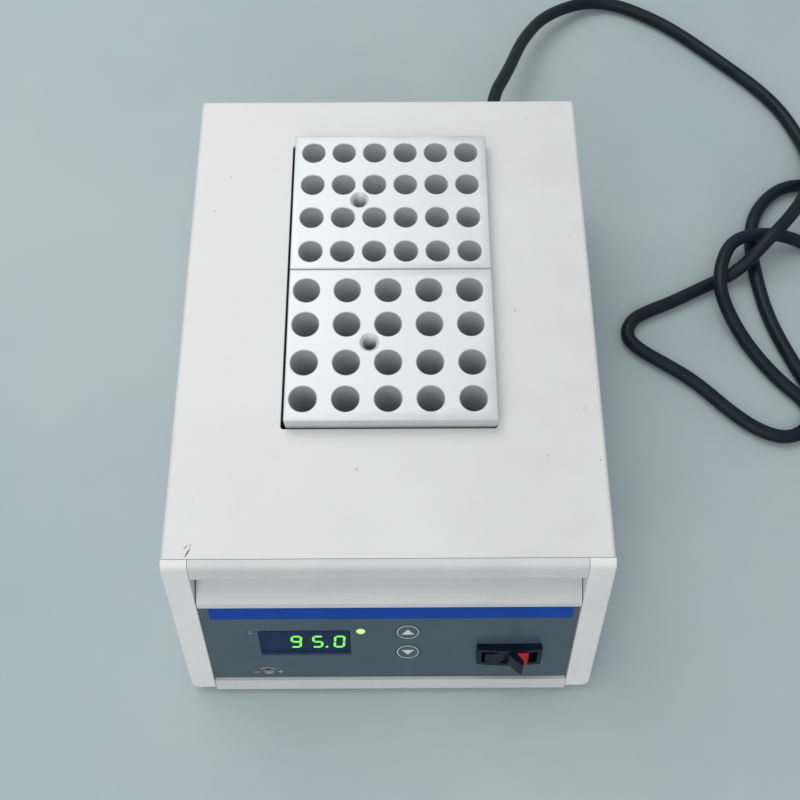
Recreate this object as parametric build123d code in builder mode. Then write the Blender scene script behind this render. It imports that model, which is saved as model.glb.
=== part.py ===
from build123d import *

import os
from math import cos, pi, radians, sin, tan

os.makedirs("parts", exist_ok=True)

# Dry bath incubator with two heating blocks, in millimetres. X runs to the right, Y to the back, Z up, and
# the origin lies on the table under the middle of the casing.

# Casing
casing_width = 194.5
casing_height = 84.0
casing_depth = 287.4
foot_height = 4.5
front_slant = 27.0
cover_sheet = 1.5
cover_bend = 2.2
flange_width = 10.0
seam_gap = 0.2
seam_behind_corner = 3.4
fit_gap = 0.2

# Front mouldings
cheek_width = 11.5
cheek_wall = 2.5
cheek_top_radius = 5.0
cheek_bottom_radius = 4.0
moulding_edge = 0.8
lip_height = 8.4
tongue_thickness = 2.0
tongue_length = 11.0
frame_side_gap = 0.5
frame_shift = 0.1
groove_wall = 2.5
groove_back_behind_seam = -1.4
ledge_knees = [(0.0, 17.0), (5.5, 19.0), (9.6, 20.5)]
ledge_end_down = 25.5
overlay_top_down = 28.6
overlay_thickness = 0.4
overlay_seat = -1.5
rail_height = 7.5
rail_front = 0.6
brow_front = 0.3
plate_thickness = 2.0
pane_seat = 0.5
end_wall = 2.5
end_wall_depth = 14.0
end_wall_down = 3.0
end_wall_lift = 0.7

# Features of the panel, from the middle of the overlay: across to the right, up the slope
window_place = (-39.5, -0.1)
window_size = (42.0, 19.3)
window_thickness = 1.7
window_rim = 2.0
digit_pitch = 10.16
digit_height = 9.5
digit_shift = (0.6, -1.8)
digit_gap = 0.6
display_body_height = 12.8
display_step = 0.2
digits_depth = 6.6
lamp_places = {"setpoint_led": (-13.3, 8.6), "actual_led": (-64.3, 8.0)}
lamp_radius = 1.8
lamp_proud = 0.5
lamp_flange = 0.4
lamp_flange_height = 1.0
key_places = {"up_key": (8.45, 8.2), "down_key": (8.45, -7.75)}
key_radius = 5.6
key_gap = 0.25
key_travel = 0.4
key_proud = 0.15
key_collar = 1.2
key_collar_thickness = 0.8
key_edge = 0.3
tact_size = 6.0
tact_height = 2.4
tact_button = (1.75, 0.6)
trimmer_place = (-59.0, -24.4)
trimmer_hole = 2.5
trimmer_size = 7.0
trimmer_height = 4.5
trimmer_recess = (2.3, 1.0)
rotor_size = (2.0, 1.6)
rotor_slot = (4.2, 0.7, 0.8)
rocker_place = (55.95, -7.5)
board_front = -9.5
board_thickness = 1.6
board_margin = 4.5
board_post_radius = 2.6
board_post_places = [(-68.0, 14.2), (16.5, 14.2), (-69.0, -21.3), (16.5, -21.3)]

# Rocker switch
bezel_size = (30.3, 12.0)
bezel_end_rise = 3.2
bezel_crown = 0.9
well_size = (26.0, 8.4)
well_below_overlay = 7.5
housing_size = (28.0, 11.0)
housing_depth = 22.0
rocker_pivot_out = -2.0
rocker_width = 7.8
rocker_turn = 20.0
rocker_tip = (8.9, 8.8)
rocker_end = (10.06, 0.6)
rocker_valley = 4.0
rocker_cap = 2.2
rocker_bulge = (4.9, 7.35)
rocker_hub = 2.6
rocker_web_end = -3.2
rocker_body_end = -2.0
rocker_body_gap = 0.1
hinge_pin = 1.5
terminal_pitch = (12.0, 5.0)
terminal_size = (4.8, 0.8, 8.0)

# Heating blocks and the well they stand in
block_size = (95.25, 76.2, 50.8)
block_proud = 8.0
block_gap = 0.4
block_chamfer = 0.6
blocks_across = 1.2
blocks_from_back = 105.3
opening_room = (2.45, 1.3)
opening_shift = (-0.95, -0.35)
opening_corner = 1.5
rear_wells = (6, 4)
rear_well_pitch = (15.17, 18.83)
rear_well_shift = (-0.26, -0.37)
rear_well_radius = 5.65
rear_well_depth = 36.0
front_well_columns = 5
front_well_pitch = 19.07
front_well_shift = -1.17
front_well_rows = [-27.59, -9.9, 9.34, 27.03]
front_well_radius = 6.2
front_well_depth = 42.0
lifting_radius = 3.95
lifting_depth = 20.0
rear_lifting_across = -15.2
front_lifting_across = -9.75
tray_clearance = 0.6
tray_wall = 2.0
tray_floor = 6.0
tray_below_top = 0.5
tray_skin = 1.0
heater_size = (70.0, 130.0, 2.0)
clamp_size = (74.0, 134.0, 2.0)
clamp_screw_pitch = (60.0, 110.0)
plate_corner = 3.0
probe_radius = 2.0
probe_length = 28.0
probe_across = -20.0
probe_gap = 0.1
cutoff_radius = 8.0
cutoff_height = 9.0
cutoff_flange = (2.0, 1.5)
insulation_thickness = 12.0
pad_height = 16.5
spacer_radius = 4.5
spacer_pitch = (85.0, 136.0)

# Base pan, feet and the parts that stand on the pan
pan_sheet = 1.5
pan_gap = 0.3
pan_bend_gap = 0.1
tongue_gap = (0.5, 0.8)
foot_radius = 8.0
foot_inset = 21.25
foot_from_back = 18.7
foot_from_front = 23.7
foot_recess = 2.8
foot_recess_gap = 0.6
foot_taper = 4.0
vent_size = (30.0, 4.0)
vent_pitch = (38.0, 9.6)
vent_counts = (3, 4)
pan_flange_height = 16.0
shield_gap = 6.2
shield_thickness = 1.2
shield_width = 160.0
shield_foot = 5.5
shield_below_tray_top = 6.0
power_board_size = (116.0, 52.0)
power_board_across = -22.0
power_board_from_shield = 32.0
power_board_lift = 8.0
post_radius = 3.0
power_post_pitch = (108.0, 42.0)

# Parts on the power board, placed from its middle
transformer_place = (-21.0, 6.0)
transformer_core = (36.0, 16.0, 29.0)
transformer_winding = (22.0, 27.0, 21.0)
winding_lift = 4.0
winding_corner = 3.0
sink_place = (40.0, 4.0)
sink_plate = (26.0, 3.0, 26.0)
fin_size = (1.4, 9.0)
fin_pitch = 6.0
fin_count = 5
triac_size = (10.0, 4.4, 15.0)
triac_lift = 5.5
leg_size = (0.8, 0.6, 6.0)
leg_pitch = 2.54
leg_ahead = 4.0
terminal_block_place = (14.0, 16.0)
terminal_block_size = (24.0, 10.0, 11.0)
way_pitch = 6.0
way_count = 4
way_mouth = (4.0, 5.0, 4.0)
way_mouth_height = 5.0
way_screw = (1.7, 2.0)
fuse_place = (14.0, -18.0)
fuse_tube = (2.6, 20.0)
fuse_height = 5.0
clip_size = (3.0, 7.0, 6.0)
clip_pitch = 15.0

# Screws
screw_radius = 1.5
screw_hole = 1.6
screw_head_radius = 2.8
screw_head = 1.8
sheet_screw = 5.5
board_screw = 6.0
long_screw = 8.0
cheek_screw_places = [(38.0, -10.5), (78.0, -10.5)]
lip_screw_across = [-60.0, 0.0, 60.0]
lip_screw_back = 6.6
rail_screw_across = [-45.0, 0.0, 45.0]
side_screws_from_back = [213.7, 113.7, 18.7]
side_screw_inset = 6.5
rear_screw_x = [-75.0, -10.0, 30.0]
rear_screw_rise = 7.0
screw_boss_radius = 3.3
lip_boss_width = 6.9
lip_boss_hole = 9.0

# Mains lead
cord_radius = 3.75
gland_across = 60.5
gland_height = 38.0
gland_barrel = 6.2
gland_barrel_length = 9.0
gland_flange = 9.0
gland_flange_thickness = 2.0
gland_nut = 3.5
boot_radii = (6.5, 4.75)
boot_length = 24.3
plug_start = (330.0, 68.0, 9.5)
plug_boot_radii = (4.35, 6.75)
plug_boot_length = 14.0
plug_neck = (16.8, 14.25)
plug_shoulder = 8.0
plug_body = (24.0, 30.0, 19.0)
plug_corner = 5.0
blade_size = (1.5, 6.3)
blade_pitch = 12.7
blade_height = 2.6
earth_pin_radius = 2.4
earth_pin_height = -4.4
pin_length = 17.0
floor_gap = 0.05
coil_centre = (283.0, -35.0)
coil_radii = (32.5, 48.0)
coil_height = 15.2

# Values worked out from the sizes above
lean = radians(front_slant)
bottom_z = foot_height
top_z = foot_height + casing_height
back_y = casing_depth / 2
front_corner_y = -casing_depth / 2 + casing_height * tan(lean)
slope_length = casing_height / cos(lean)
seam_y = front_corner_y + seam_behind_corner
cover_front_y = seam_y + seam_gap / 2
moulding_back_y = seam_y - seam_gap / 2
nose_room = (seam_behind_corner - seam_gap) / tan(radians(90 - front_slant) / 2)
nose_radius = min(cheek_top_radius, 0.98 * nose_room)
half_width = casing_width / 2
cheek_inner = half_width - cheek_width
frame_width = 2 * (cheek_inner - frame_side_gap)
plate_back = overlay_seat - plate_thickness
overlay_front = overlay_seat + overlay_thickness
overlay_bottom_down = slope_length - rail_height
overlay_length = overlay_bottom_down - overlay_top_down
panel_middle_down = (overlay_top_down + overlay_bottom_down) / 2
frame_half = frame_width / 2
pan_bottom = bottom_z + cover_sheet
pan_top = pan_bottom + pan_sheet
blocks_centre = (blocks_across, back_y - blocks_from_back)
opening_size = (block_size[0] + opening_room[0], 2 * block_size[1] + block_gap + opening_room[1])
opening_centre = (blocks_centre[0] + opening_shift[0], blocks_centre[1] + opening_shift[1])
foot_pitch = (2 * (half_width - foot_inset), casing_depth - foot_from_front - foot_from_back)
foot_centre_y = (foot_from_front - foot_from_back) / 2
block_top = top_z + block_proud
block_bottom = block_top - block_size[2]
tray_bottom = block_bottom - tray_floor
tray_top = top_z - cover_sheet - tray_below_top
tray_inner = (opening_size[0] + 2 * tray_clearance, opening_size[1] + 2 * tray_clearance)
tray_outer = (tray_inner[0] + 2 * tray_wall, tray_inner[1] + 2 * tray_wall)
heater_bottom = tray_bottom - heater_size[2]
clamp_bottom = heater_bottom - clamp_size[2]
rear_block_y = blocks_centre[1] + (block_gap + block_size[1]) / 2
front_block_y = blocks_centre[1] - (block_gap + block_size[1]) / 2
power_board_bottom = pan_top + power_board_lift
power_board_top = power_board_bottom + board_thickness
board_back = board_front - board_thickness
ring_inner = (tray_outer[0] + 2 * fit_gap, tray_outer[1] + 2 * fit_gap)
ring_outer = (ring_inner[0] + 2 * insulation_thickness, ring_inner[1] + 2 * insulation_thickness)
shield_y = opening_centre[1] - ring_outer[1] / 2 - shield_gap
power_board_centre = (power_board_across, shield_y - power_board_from_shield)


def front_y(height, out=0.0):
    """Y of the slanted front at a height, `out` in front of the corner's plane."""
    return front_corner_y - (top_z - height) * tan(lean) - out / cos(lean)


def on_front(across, down, out=0.0):
    """Sketch plane on the slanted front: x to the right, y up the slope, z outward."""
    origin = (
        across,
        front_corner_y - down * sin(lean) - out * cos(lean),
        top_z - down * cos(lean) + out * sin(lean),
    )
    return Plane(origin=origin, x_dir=(1, 0, 0), z_dir=(0, -cos(lean), sin(lean)))


def on_panel(place, out=0.0):
    """Sketch plane on the panel at a place given from the middle of the overlay."""
    return on_front(place[0], panel_middle_down - place[1], out)


def side_point(down, out):
    """Point of the front's side outline, for a sketch on the YZ plane."""
    origin = on_front(0, down, out).origin
    return (origin.Y, origin.Z)


def block_places(pitch, counts, shift=(0.0, 0.0)):
    """Places of a grid of wells, from the middle of their block."""
    columns, rows = counts
    return [
        ((i - (columns - 1) / 2) * pitch[0] + shift[0], ((rows - 1) / 2 - j) * pitch[1] + shift[1])
        for j in range(rows)
        for i in range(columns)
    ]


def front_well_places():
    """Places of the front block's wells, from the middle of the block."""
    middle = (front_well_columns - 1) / 2
    return [
        ((i - middle) * front_well_pitch + front_well_shift, y)
        for y in front_well_rows
        for i in range(front_well_columns)
    ]


def side_screw_places():
    """Places of the cover's screws under its two sides."""
    return [(side * side_screw_x, y) for side in (-1, 1) for y in side_screw_y]


def make_screw(length, head=screw_head):
    """Pan-head screw: the head stands on the XY plane, the shank runs below it."""
    with BuildPart() as screw:
        with BuildSketch():
            Circle(screw_radius)
        extrude(amount=-length)
        with BuildSketch():
            Circle(screw_head_radius)
        extrude(amount=head)
    return screw.part


def screw_plane(place, direction):
    """Plane under a screw's head, with `direction` out of the head."""
    return Plane(origin=place, z_dir=direction)


def corner_places(centre, pitch):
    """Four places round a centre, as (x, y)."""
    return [(centre[0] + i * pitch[0] / 2, centre[1] + j * pitch[1] / 2) for i in (-1, 1) for j in (-1, 1)]


lip_screw_y = moulding_back_y + lip_screw_back
rail_screw_y = front_y(bottom_z + cover_sheet / 2, plate_back) + flange_width / 2
side_screw_x = half_width - side_screw_inset
side_screw_y = [back_y - distance for distance in side_screws_from_back]
rear_screw_z = pan_top + rear_screw_rise


def make_top_cover():
    """Folded and painted sheet: top, sides and back, with flanges turned in under the base pan."""
    depth = back_y - cover_front_y
    middle = ((cover_front_y + back_y) / 2, (bottom_z + top_z) / 2)
    with BuildPart() as cover:
        with Locations((0, middle[0], middle[1])):
            Box(casing_width, depth, casing_height)
        fillet(cover.edges().filter_by_position(Axis.Y, cover_front_y + 1, back_y + 1), cover_bend)
        offset(amount=-cover_sheet, openings=cover.faces().sort_by(Axis.Y)[0])
        window_end = back_y - flange_width
        with BuildSketch(Plane.XY.offset(bottom_z)):
            with Locations((0, (cover_front_y + window_end) / 2 - 1)):
                Rectangle(casing_width - 2 * flange_width, window_end - cover_front_y + 2)
        extrude(amount=cover_sheet, mode=Mode.SUBTRACT)
        with BuildSketch(Plane.XY.offset(top_z)):
            with Locations(opening_centre):
                RectangleRounded(opening_size[0], opening_size[1], opening_corner)
        extrude(amount=-cover_sheet, mode=Mode.SUBTRACT)
        with BuildSketch(Plane.XZ.offset(-back_y)):
            with Locations((gland_across, gland_height)):
                Circle(gland_barrel + fit_gap)
            with Locations([(x, rear_screw_z) for x in rear_screw_x]):
                Circle(screw_hole)
        extrude(amount=cover_sheet, mode=Mode.SUBTRACT)
        with BuildSketch(Plane.XY.offset(bottom_z)):
            with Locations(side_screw_places()):
                Circle(screw_hole)
        extrude(amount=cover_sheet, mode=Mode.SUBTRACT)
    return cover


def make_base_pan():
    """Floor sheet on the cover's flanges, with a tongue between the cheeks, a rear flange and vents."""
    rear = back_y - cover_bend - pan_bend_gap
    front = cover_front_y + pan_gap
    side = half_width - cover_bend - pan_gap
    tongue_front = front_y(pan_bottom, plate_back) + tongue_gap[1]
    with BuildPart() as pan:
        with BuildSketch(Plane.XY.offset(pan_bottom)):
            with Locations((0, (front + rear) / 2)):
                Rectangle(2 * side, rear - front)
            with Locations((0, (tongue_front + front) / 2)):
                Rectangle(2 * (cheek_inner - tongue_gap[0]), front - tongue_front)
        extrude(amount=pan_sheet)
        with BuildSketch(Plane.XZ.offset(-rear)):
            with Locations((0, pan_bottom + pan_flange_height / 2)):
                Rectangle(2 * (side - cover_bend), pan_flange_height)
        extrude(amount=pan_sheet)
        with BuildSketch(Plane.XY.offset(pan_bottom)):
            with Locations((0, foot_centre_y)):
                with GridLocations(*foot_pitch, 2, 2):
                    Circle(screw_hole)
            with Locations(side_screw_places()):
                Circle(screw_hole)
            with Locations([(x, rail_screw_y) for x in rail_screw_across]):
                Circle(screw_hole)
            with Locations(power_board_centre):
                with GridLocations(*vent_pitch, *vent_counts):
                    SlotOverall(*vent_size)
        extrude(amount=pan_sheet, mode=Mode.SUBTRACT)
        with BuildSketch(Plane.XZ.offset(-rear)):
            with Locations([(x, rear_screw_z) for x in rear_screw_x]):
                Circle(screw_hole)
        extrude(amount=pan_sheet, mode=Mode.SUBTRACT)
    return pan


def make_cheek(side):
    """Hollow end moulding of the sloping front, open towards the cover, with two screw bosses."""
    start = cheek_inner if side > 0 else -half_width
    with BuildPart() as cheek:
        with BuildSketch(Plane.YZ.offset(start)) as outline:
            with BuildLine():
                Polyline(
                    (moulding_back_y, bottom_z),
                    (front_y(bottom_z), bottom_z),
                    (front_corner_y, top_z),
                    (moulding_back_y, top_z),
                    close=True,
                )
            make_face()
            corner = outline.vertices().group_by(Axis.Y)[-1].sort_by(Axis.X)[0]
            fillet(corner, nose_radius)
        extrude(amount=cheek_width)
        outer = cheek.faces().sort_by(Axis.X)[-1 if side > 0 else 0]
        lower = outer.edges().sort_by(Axis.Z)[0]
        fillet(lower, cheek_bottom_radius)
        rim = cheek.faces().sort_by(Axis.X)[-1 if side > 0 else 0].edges()
        front_rim = rim.filter_by_position(Axis.Y, front_y(bottom_z) - 1, moulding_back_y - 0.5)
        fillet(front_rim, moulding_edge)
        with BuildSketch(Plane.YZ.offset(start + cheek_wall)):
            with BuildLine():
                Polyline(
                    (moulding_back_y, bottom_z + cheek_wall),
                    (front_y(bottom_z + cheek_wall, -cheek_wall), bottom_z + cheek_wall),
                    (front_y(top_z - cheek_wall, -cheek_wall), top_z - cheek_wall),
                    (moulding_back_y, top_z - cheek_wall),
                    close=True,
                )
            make_face()
        extrude(amount=cheek_width - 2 * cheek_wall, mode=Mode.SUBTRACT)
        bosses = [side_point(down, out) for down, out in cheek_screw_places]
        inner_face = side * cheek_inner
        with BuildSketch(Plane.YZ.offset(inner_face)):
            with Locations(bosses):
                Circle(screw_boss_radius)
        extrude(amount=side * (cheek_width - cheek_wall / 2))
        with BuildSketch(Plane.YZ.offset(inner_face)):
            with Locations(bosses):
                Circle(screw_hole)
        extrude(amount=side * (cheek_width - 2 * cheek_wall), mode=Mode.SUBTRACT)
    return cheek


def make_front_lip():
    """Rounded brow rail above the finger groove, held by a tongue under the cover."""
    lip_bottom = top_z - lip_height
    tongue_top = top_z - cover_sheet - fit_gap
    with BuildPart() as lip:
        with BuildSketch(Plane.YZ.offset(-cheek_inner + fit_gap)) as outline:
            with BuildLine():
                Polyline(
                    (moulding_back_y, lip_bottom),
                    (front_y(lip_bottom), lip_bottom),
                    (front_corner_y, top_z),
                    (moulding_back_y, top_z),
                    (moulding_back_y, tongue_top),
                    (moulding_back_y + tongue_length, tongue_top),
                    (moulding_back_y + tongue_length, tongue_top - tongue_thickness),
                    (moulding_back_y, tongue_top - tongue_thickness),
                    close=True,
                )
            make_face()
            nose = outline.vertices().group_by(Axis.Y)[-1].sort_by(Axis.X)[0]
            fillet(nose, nose_radius)
            underside = outline.vertices().sort_by(Axis.X)[0]
            fillet(underside, moulding_edge)
        extrude(amount=2 * (cheek_inner - fit_gap))
        with BuildSketch(Plane.XY.offset(tongue_top)):
            with Locations([(x, lip_screw_y) for x in lip_screw_across]):
                Circle(screw_hole)
        extrude(amount=-tongue_thickness, mode=Mode.SUBTRACT)
        with BuildSketch(Plane.XY.offset(tongue_top)):
            with Locations([(x, lip_screw_y) for x in lip_screw_across]):
                Circle(screw_head_radius + fit_gap)
        extrude(amount=-tongue_thickness / 2, mode=Mode.SUBTRACT)
    return lip


def frame_outline():
    """Side outline of the panel frame: groove wall, ledge, overlay seat and bottom rail."""
    groove_back = seam_y + groove_back_behind_seam
    wall_top = top_z - lip_height - fit_gap
    ledge = [(groove_back - forward, top_z - drop) for forward, drop in ledge_knees]
    under = [(y + 1.0, z - groove_wall) for y, z in ledge]
    rear = groove_back + groove_wall
    return [
        (rear, wall_top),
        (groove_back, wall_top),
        *ledge,
        side_point(ledge_end_down, 0.0),
        side_point(ledge_end_down + 0.5, brow_front),
        side_point(overlay_top_down, brow_front),
        side_point(overlay_top_down, overlay_seat),
        side_point(overlay_bottom_down, overlay_seat),
        side_point(overlay_bottom_down, rail_front),
        (front_y(bottom_z, rail_front), bottom_z),
        (front_y(bottom_z, plate_back) + flange_width, bottom_z),
        (front_y(bottom_z, plate_back) + flange_width, bottom_z + cover_sheet),
        (front_y(bottom_z + cover_sheet, plate_back), bottom_z + cover_sheet),
        side_point(overlay_top_down - 1.0, plate_back),
        under[2],
        under[1],
        (rear, under[0][1]),
    ]


def make_panel_frame():
    """Moulded frame between the cheeks: finger groove, ledge, plate behind the overlay and bottom rail."""
    start = frame_shift - frame_half
    wall_starts = (start, start + frame_width - end_wall)
    wall_front = plate_back + pane_seat
    wall_back = plate_back - end_wall_depth
    wall_top = overlay_top_down + end_wall_down
    wall_foot = pan_top + end_wall_lift
    with BuildPart() as frame:
        with BuildSketch(Plane.YZ.offset(start)):
            with BuildLine():
                Polyline(*frame_outline(), close=True)
            make_face()
        extrude(amount=frame_width)
        for wall_start in wall_starts:
            with BuildSketch(Plane.YZ.offset(wall_start)):
                with BuildLine():
                    Polyline(
                        side_point(wall_top, wall_front),
                        side_point(wall_top, wall_back),
                        (front_y(wall_foot, wall_back), wall_foot),
                        (front_y(wall_foot, wall_front), wall_foot),
                        close=True,
                    )
                make_face()
            extrude(amount=end_wall)
        boss_top = top_z - cover_sheet - fit_gap - tongue_thickness
        boss_foot = top_z - ledge_knees[0][1] - groove_wall
        boss_rear = moulding_back_y + tongue_length - pane_seat
        boss_front = seam_y + groove_back_behind_seam + groove_wall / 2
        with BuildSketch(Plane.XY.offset(boss_foot)):
            with Locations([(x, (boss_front + boss_rear) / 2) for x in lip_screw_across]):
                Rectangle(lip_boss_width, boss_rear - boss_front)
        extrude(amount=boss_top - boss_foot)
        with BuildSketch(Plane.XY.offset(boss_top)):
            with Locations([(x, lip_screw_y) for x in lip_screw_across]):
                Circle(screw_hole)
        extrude(amount=-lip_boss_hole, mode=Mode.SUBTRACT)
        with BuildSketch(Plane.XY.offset(bottom_z)):
            with Locations([(x, rail_screw_y) for x in rail_screw_across]):
                Circle(screw_hole)
        extrude(amount=cover_sheet, mode=Mode.SUBTRACT)
        for wall_start in wall_starts:
            with BuildSketch(Plane.YZ.offset(wall_start)):
                with Locations([side_point(down, out) for down, out in cheek_screw_places]):
                    Circle(screw_hole)
            extrude(amount=end_wall, mode=Mode.SUBTRACT)
        with BuildSketch(on_panel(window_place, overlay_seat)):
            Rectangle(window_size[0] + 2 * fit_gap, window_size[1] + 2 * fit_gap)
        extrude(amount=-plate_thickness, mode=Mode.SUBTRACT)
        with BuildSketch(on_panel(window_place, plate_back)):
            Rectangle(*[size + 2 * (window_rim + fit_gap) for size in window_size])
        extrude(amount=plate_thickness - pane_seat, mode=Mode.SUBTRACT)
        for place in lamp_places.values():
            with BuildSketch(on_panel(place, overlay_seat)):
                Circle(lamp_radius + fit_gap)
            extrude(amount=-plate_thickness, mode=Mode.SUBTRACT)
        for place in key_places.values():
            with BuildSketch(on_panel(place, overlay_seat)):
                Circle(key_radius + key_gap)
            extrude(amount=-plate_thickness, mode=Mode.SUBTRACT)
        with BuildSketch(on_panel(trimmer_place, overlay_seat)):
            Circle(trimmer_hole)
        extrude(amount=-plate_thickness, mode=Mode.SUBTRACT)
        with BuildSketch(on_panel(rocker_place, overlay_seat)):
            Rectangle(housing_size[0] + 2 * fit_gap, housing_size[1] + 2 * fit_gap)
        extrude(amount=-plate_thickness, mode=Mode.SUBTRACT)
    return frame


def make_panel_overlay():
    """Printed film over the plate, cut out round the window, lamps, keys, trimmer hole and switch."""
    with BuildPart() as overlay:
        with BuildSketch(on_panel((frame_shift, 0), overlay_seat)):
            Rectangle(frame_width - 2 * fit_gap, overlay_length - fit_gap)
        extrude(amount=overlay_thickness)
        with BuildSketch(on_panel(window_place, overlay_seat)):
            Rectangle(window_size[0] + 2 * fit_gap, window_size[1] + 2 * fit_gap)
        extrude(amount=overlay_thickness, mode=Mode.SUBTRACT)
        for place in lamp_places.values():
            with BuildSketch(on_panel(place, overlay_seat)):
                Circle(lamp_radius + fit_gap)
            extrude(amount=overlay_thickness, mode=Mode.SUBTRACT)
        for place in key_places.values():
            with BuildSketch(on_panel(place, overlay_seat)):
                Circle(key_radius + key_gap)
            extrude(amount=overlay_thickness, mode=Mode.SUBTRACT)
        with BuildSketch(on_panel(trimmer_place, overlay_seat)):
            Circle(trimmer_hole)
        extrude(amount=overlay_thickness, mode=Mode.SUBTRACT)
        with BuildSketch(on_panel(rocker_place, overlay_seat)):
            Rectangle(housing_size[0] + 2 * fit_gap, housing_size[1] + 2 * fit_gap)
        extrude(amount=overlay_thickness, mode=Mode.SUBTRACT)
    return overlay


def make_display_window():
    """Tinted pane, pushed in from behind the plate, with a rim that holds it."""
    back = overlay_front + fit_gap - window_thickness
    with BuildPart() as window:
        with BuildSketch(on_panel(window_place, back)):
            Rectangle(*window_size)
        extrude(amount=window_thickness)
        with BuildSketch(on_panel(window_place, back)):
            Rectangle(window_size[0] + 2 * window_rim, window_size[1] + 2 * window_rim)
        extrude(amount=plate_back + plate_thickness - pane_seat - back)
    return window


def digit_places():
    """Middles of the four digits, from the middle of the overlay, left to right."""
    across = window_place[0] + digit_shift[0]
    return [(across + (i - 1.5) * digit_pitch, window_place[1] + digit_shift[1]) for i in range(4)]


def make_display_digits():
    """Body of the four-digit display, on the display board."""
    middle = (window_place[0] + digit_shift[0], window_place[1] + digit_shift[1])
    step = digits_depth - display_step
    with BuildPart() as digits:
        with BuildSketch(on_panel(middle, board_front)):
            Rectangle(4 * digit_pitch, display_body_height)
        extrude(amount=step)
        for place in digit_places():
            with BuildSketch(on_panel(place, board_front + step)):
                Rectangle(digit_pitch - digit_gap, digit_height + 2 * digit_gap)
            extrude(amount=display_step / 2)
    return digits


def make_lamp(place):
    """Round-nosed lamp that stands on the display board and looks out of the overlay."""
    length = overlay_front + lamp_proud - board_front
    with BuildPart() as lamp:
        with BuildSketch(on_panel(place, board_front)):
            Circle(lamp_radius)
        extrude(amount=length)
        fillet(lamp.faces().sort_by(Axis.Y)[0].edges(), lamp_radius * 0.8)
        with BuildSketch(on_panel(place, board_front)):
            Circle(lamp_radius + lamp_flange)
        extrude(amount=lamp_flange_height)
    return lamp


def make_key(place):
    """Round key with a collar behind the plate and a plunger that reaches the tact switch."""
    collar_front = plate_back - key_proud
    collar_back = collar_front - key_collar_thickness
    plunger_end = board_front + tact_height + tact_button[1] + key_travel + fit_gap / 2
    with BuildPart() as key:
        with BuildSketch(on_panel(place, collar_front)):
            Circle(key_radius)
        extrude(amount=overlay_front + key_proud - collar_front)
        fillet(key.faces().sort_by(Axis.Y)[0].edges(), key_edge)
        with BuildSketch(on_panel(place, collar_back)):
            Circle(key_radius + key_collar)
        extrude(amount=collar_front - collar_back)
        with BuildSketch(on_panel(place, plunger_end)):
            Circle(key_radius / 2)
        extrude(amount=collar_back - plunger_end)
    return key


def make_tact_switches():
    """Small key switches on the display board, one behind each key."""
    with BuildPart() as switches:
        for place in key_places.values():
            with BuildSketch(on_panel(place, board_front)):
                Rectangle(tact_size, tact_size)
            extrude(amount=tact_height)
            with BuildSketch(on_panel(place, board_front + tact_height)):
                Circle(tact_button[0])
            extrude(amount=tact_button[1])
    return switches


def make_display_board():
    """Circuit board behind the panel, parallel to it."""
    left = min(across for across, _ in board_post_places) - board_margin
    right = max(across for across, _ in board_post_places) + board_margin
    upper = max(up for _, up in board_post_places) + board_margin
    lower = min(up for _, up in board_post_places) - board_margin
    with BuildPart() as board:
        with BuildSketch(on_panel(((left + right) / 2, (upper + lower) / 2), board_back)):
            Rectangle(right - left, upper - lower)
        extrude(amount=board_thickness)
        for place in board_post_places:
            with BuildSketch(on_panel(place, board_back)):
                Circle(screw_hole)
            extrude(amount=board_thickness, mode=Mode.SUBTRACT)
    return board


def make_board_standoffs():
    """Threaded posts between the plate and the display board."""
    with BuildPart() as posts:
        for place in board_post_places:
            with BuildSketch(on_panel(place, board_front)):
                RegularPolygon(board_post_radius, 6)
                Circle(screw_hole, mode=Mode.SUBTRACT)
            extrude(amount=plate_back - board_front)
    return posts


def rocker_side_plane(across_slope):
    """Sketch plane across the switch: x to the right, y outward, `across_slope` up from its middle."""
    centre = on_panel(rocker_place, overlay_front)
    return Plane(origin=centre.origin + centre.y_dir * across_slope, x_dir=(1, 0, 0), z_dir=-centre.y_dir)


def make_rocker_housing():
    """Switch body with a crowned bezel round the well that the rocker turns in."""
    base = on_panel(rocker_place, overlay_front)
    half = bezel_size[0] / 2
    pin_height = rocker_pivot_out - overlay_front
    with BuildPart() as housing:
        with BuildSketch(rocker_side_plane(bezel_size[1] / 2)):
            with BuildLine():
                Polyline((-half, bezel_end_rise), (-half, 0), (half, 0), (half, bezel_end_rise))
                ThreePointArc(
                    (half, bezel_end_rise), (0, bezel_end_rise + bezel_crown), (-half, bezel_end_rise)
                )
            make_face()
        extrude(amount=bezel_size[1])
        with BuildSketch(base):
            Rectangle(*housing_size)
        extrude(amount=-housing_depth)
        with BuildSketch(base.offset(bezel_end_rise + bezel_crown)):
            Rectangle(*well_size)
        extrude(amount=-(bezel_end_rise + bezel_crown + well_below_overlay), mode=Mode.SUBTRACT)
        with BuildSketch(rocker_side_plane(housing_size[1] / 2)):
            with Locations((0, pin_height)):
                Circle(hinge_pin + fit_gap)
        extrude(amount=housing_size[1], mode=Mode.SUBTRACT)
    return housing


def turned(points):
    """Points of the rocker's side outline, from its pivot, at the rest position."""
    turn = radians(rocker_turn)
    height = rocker_pivot_out - overlay_front
    return [(x * cos(turn) - y * sin(turn), x * sin(turn) + y * cos(turn) + height) for x, y in points]


def cap_edge():
    """Lower end of a wing's black cap, on the wing's end line, from the pivot."""
    share = rocker_cap / (rocker_tip[1] - rocker_end[1])
    return (rocker_tip[0] + share * (rocker_end[0] - rocker_tip[0]), rocker_tip[1] - rocker_cap)


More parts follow.
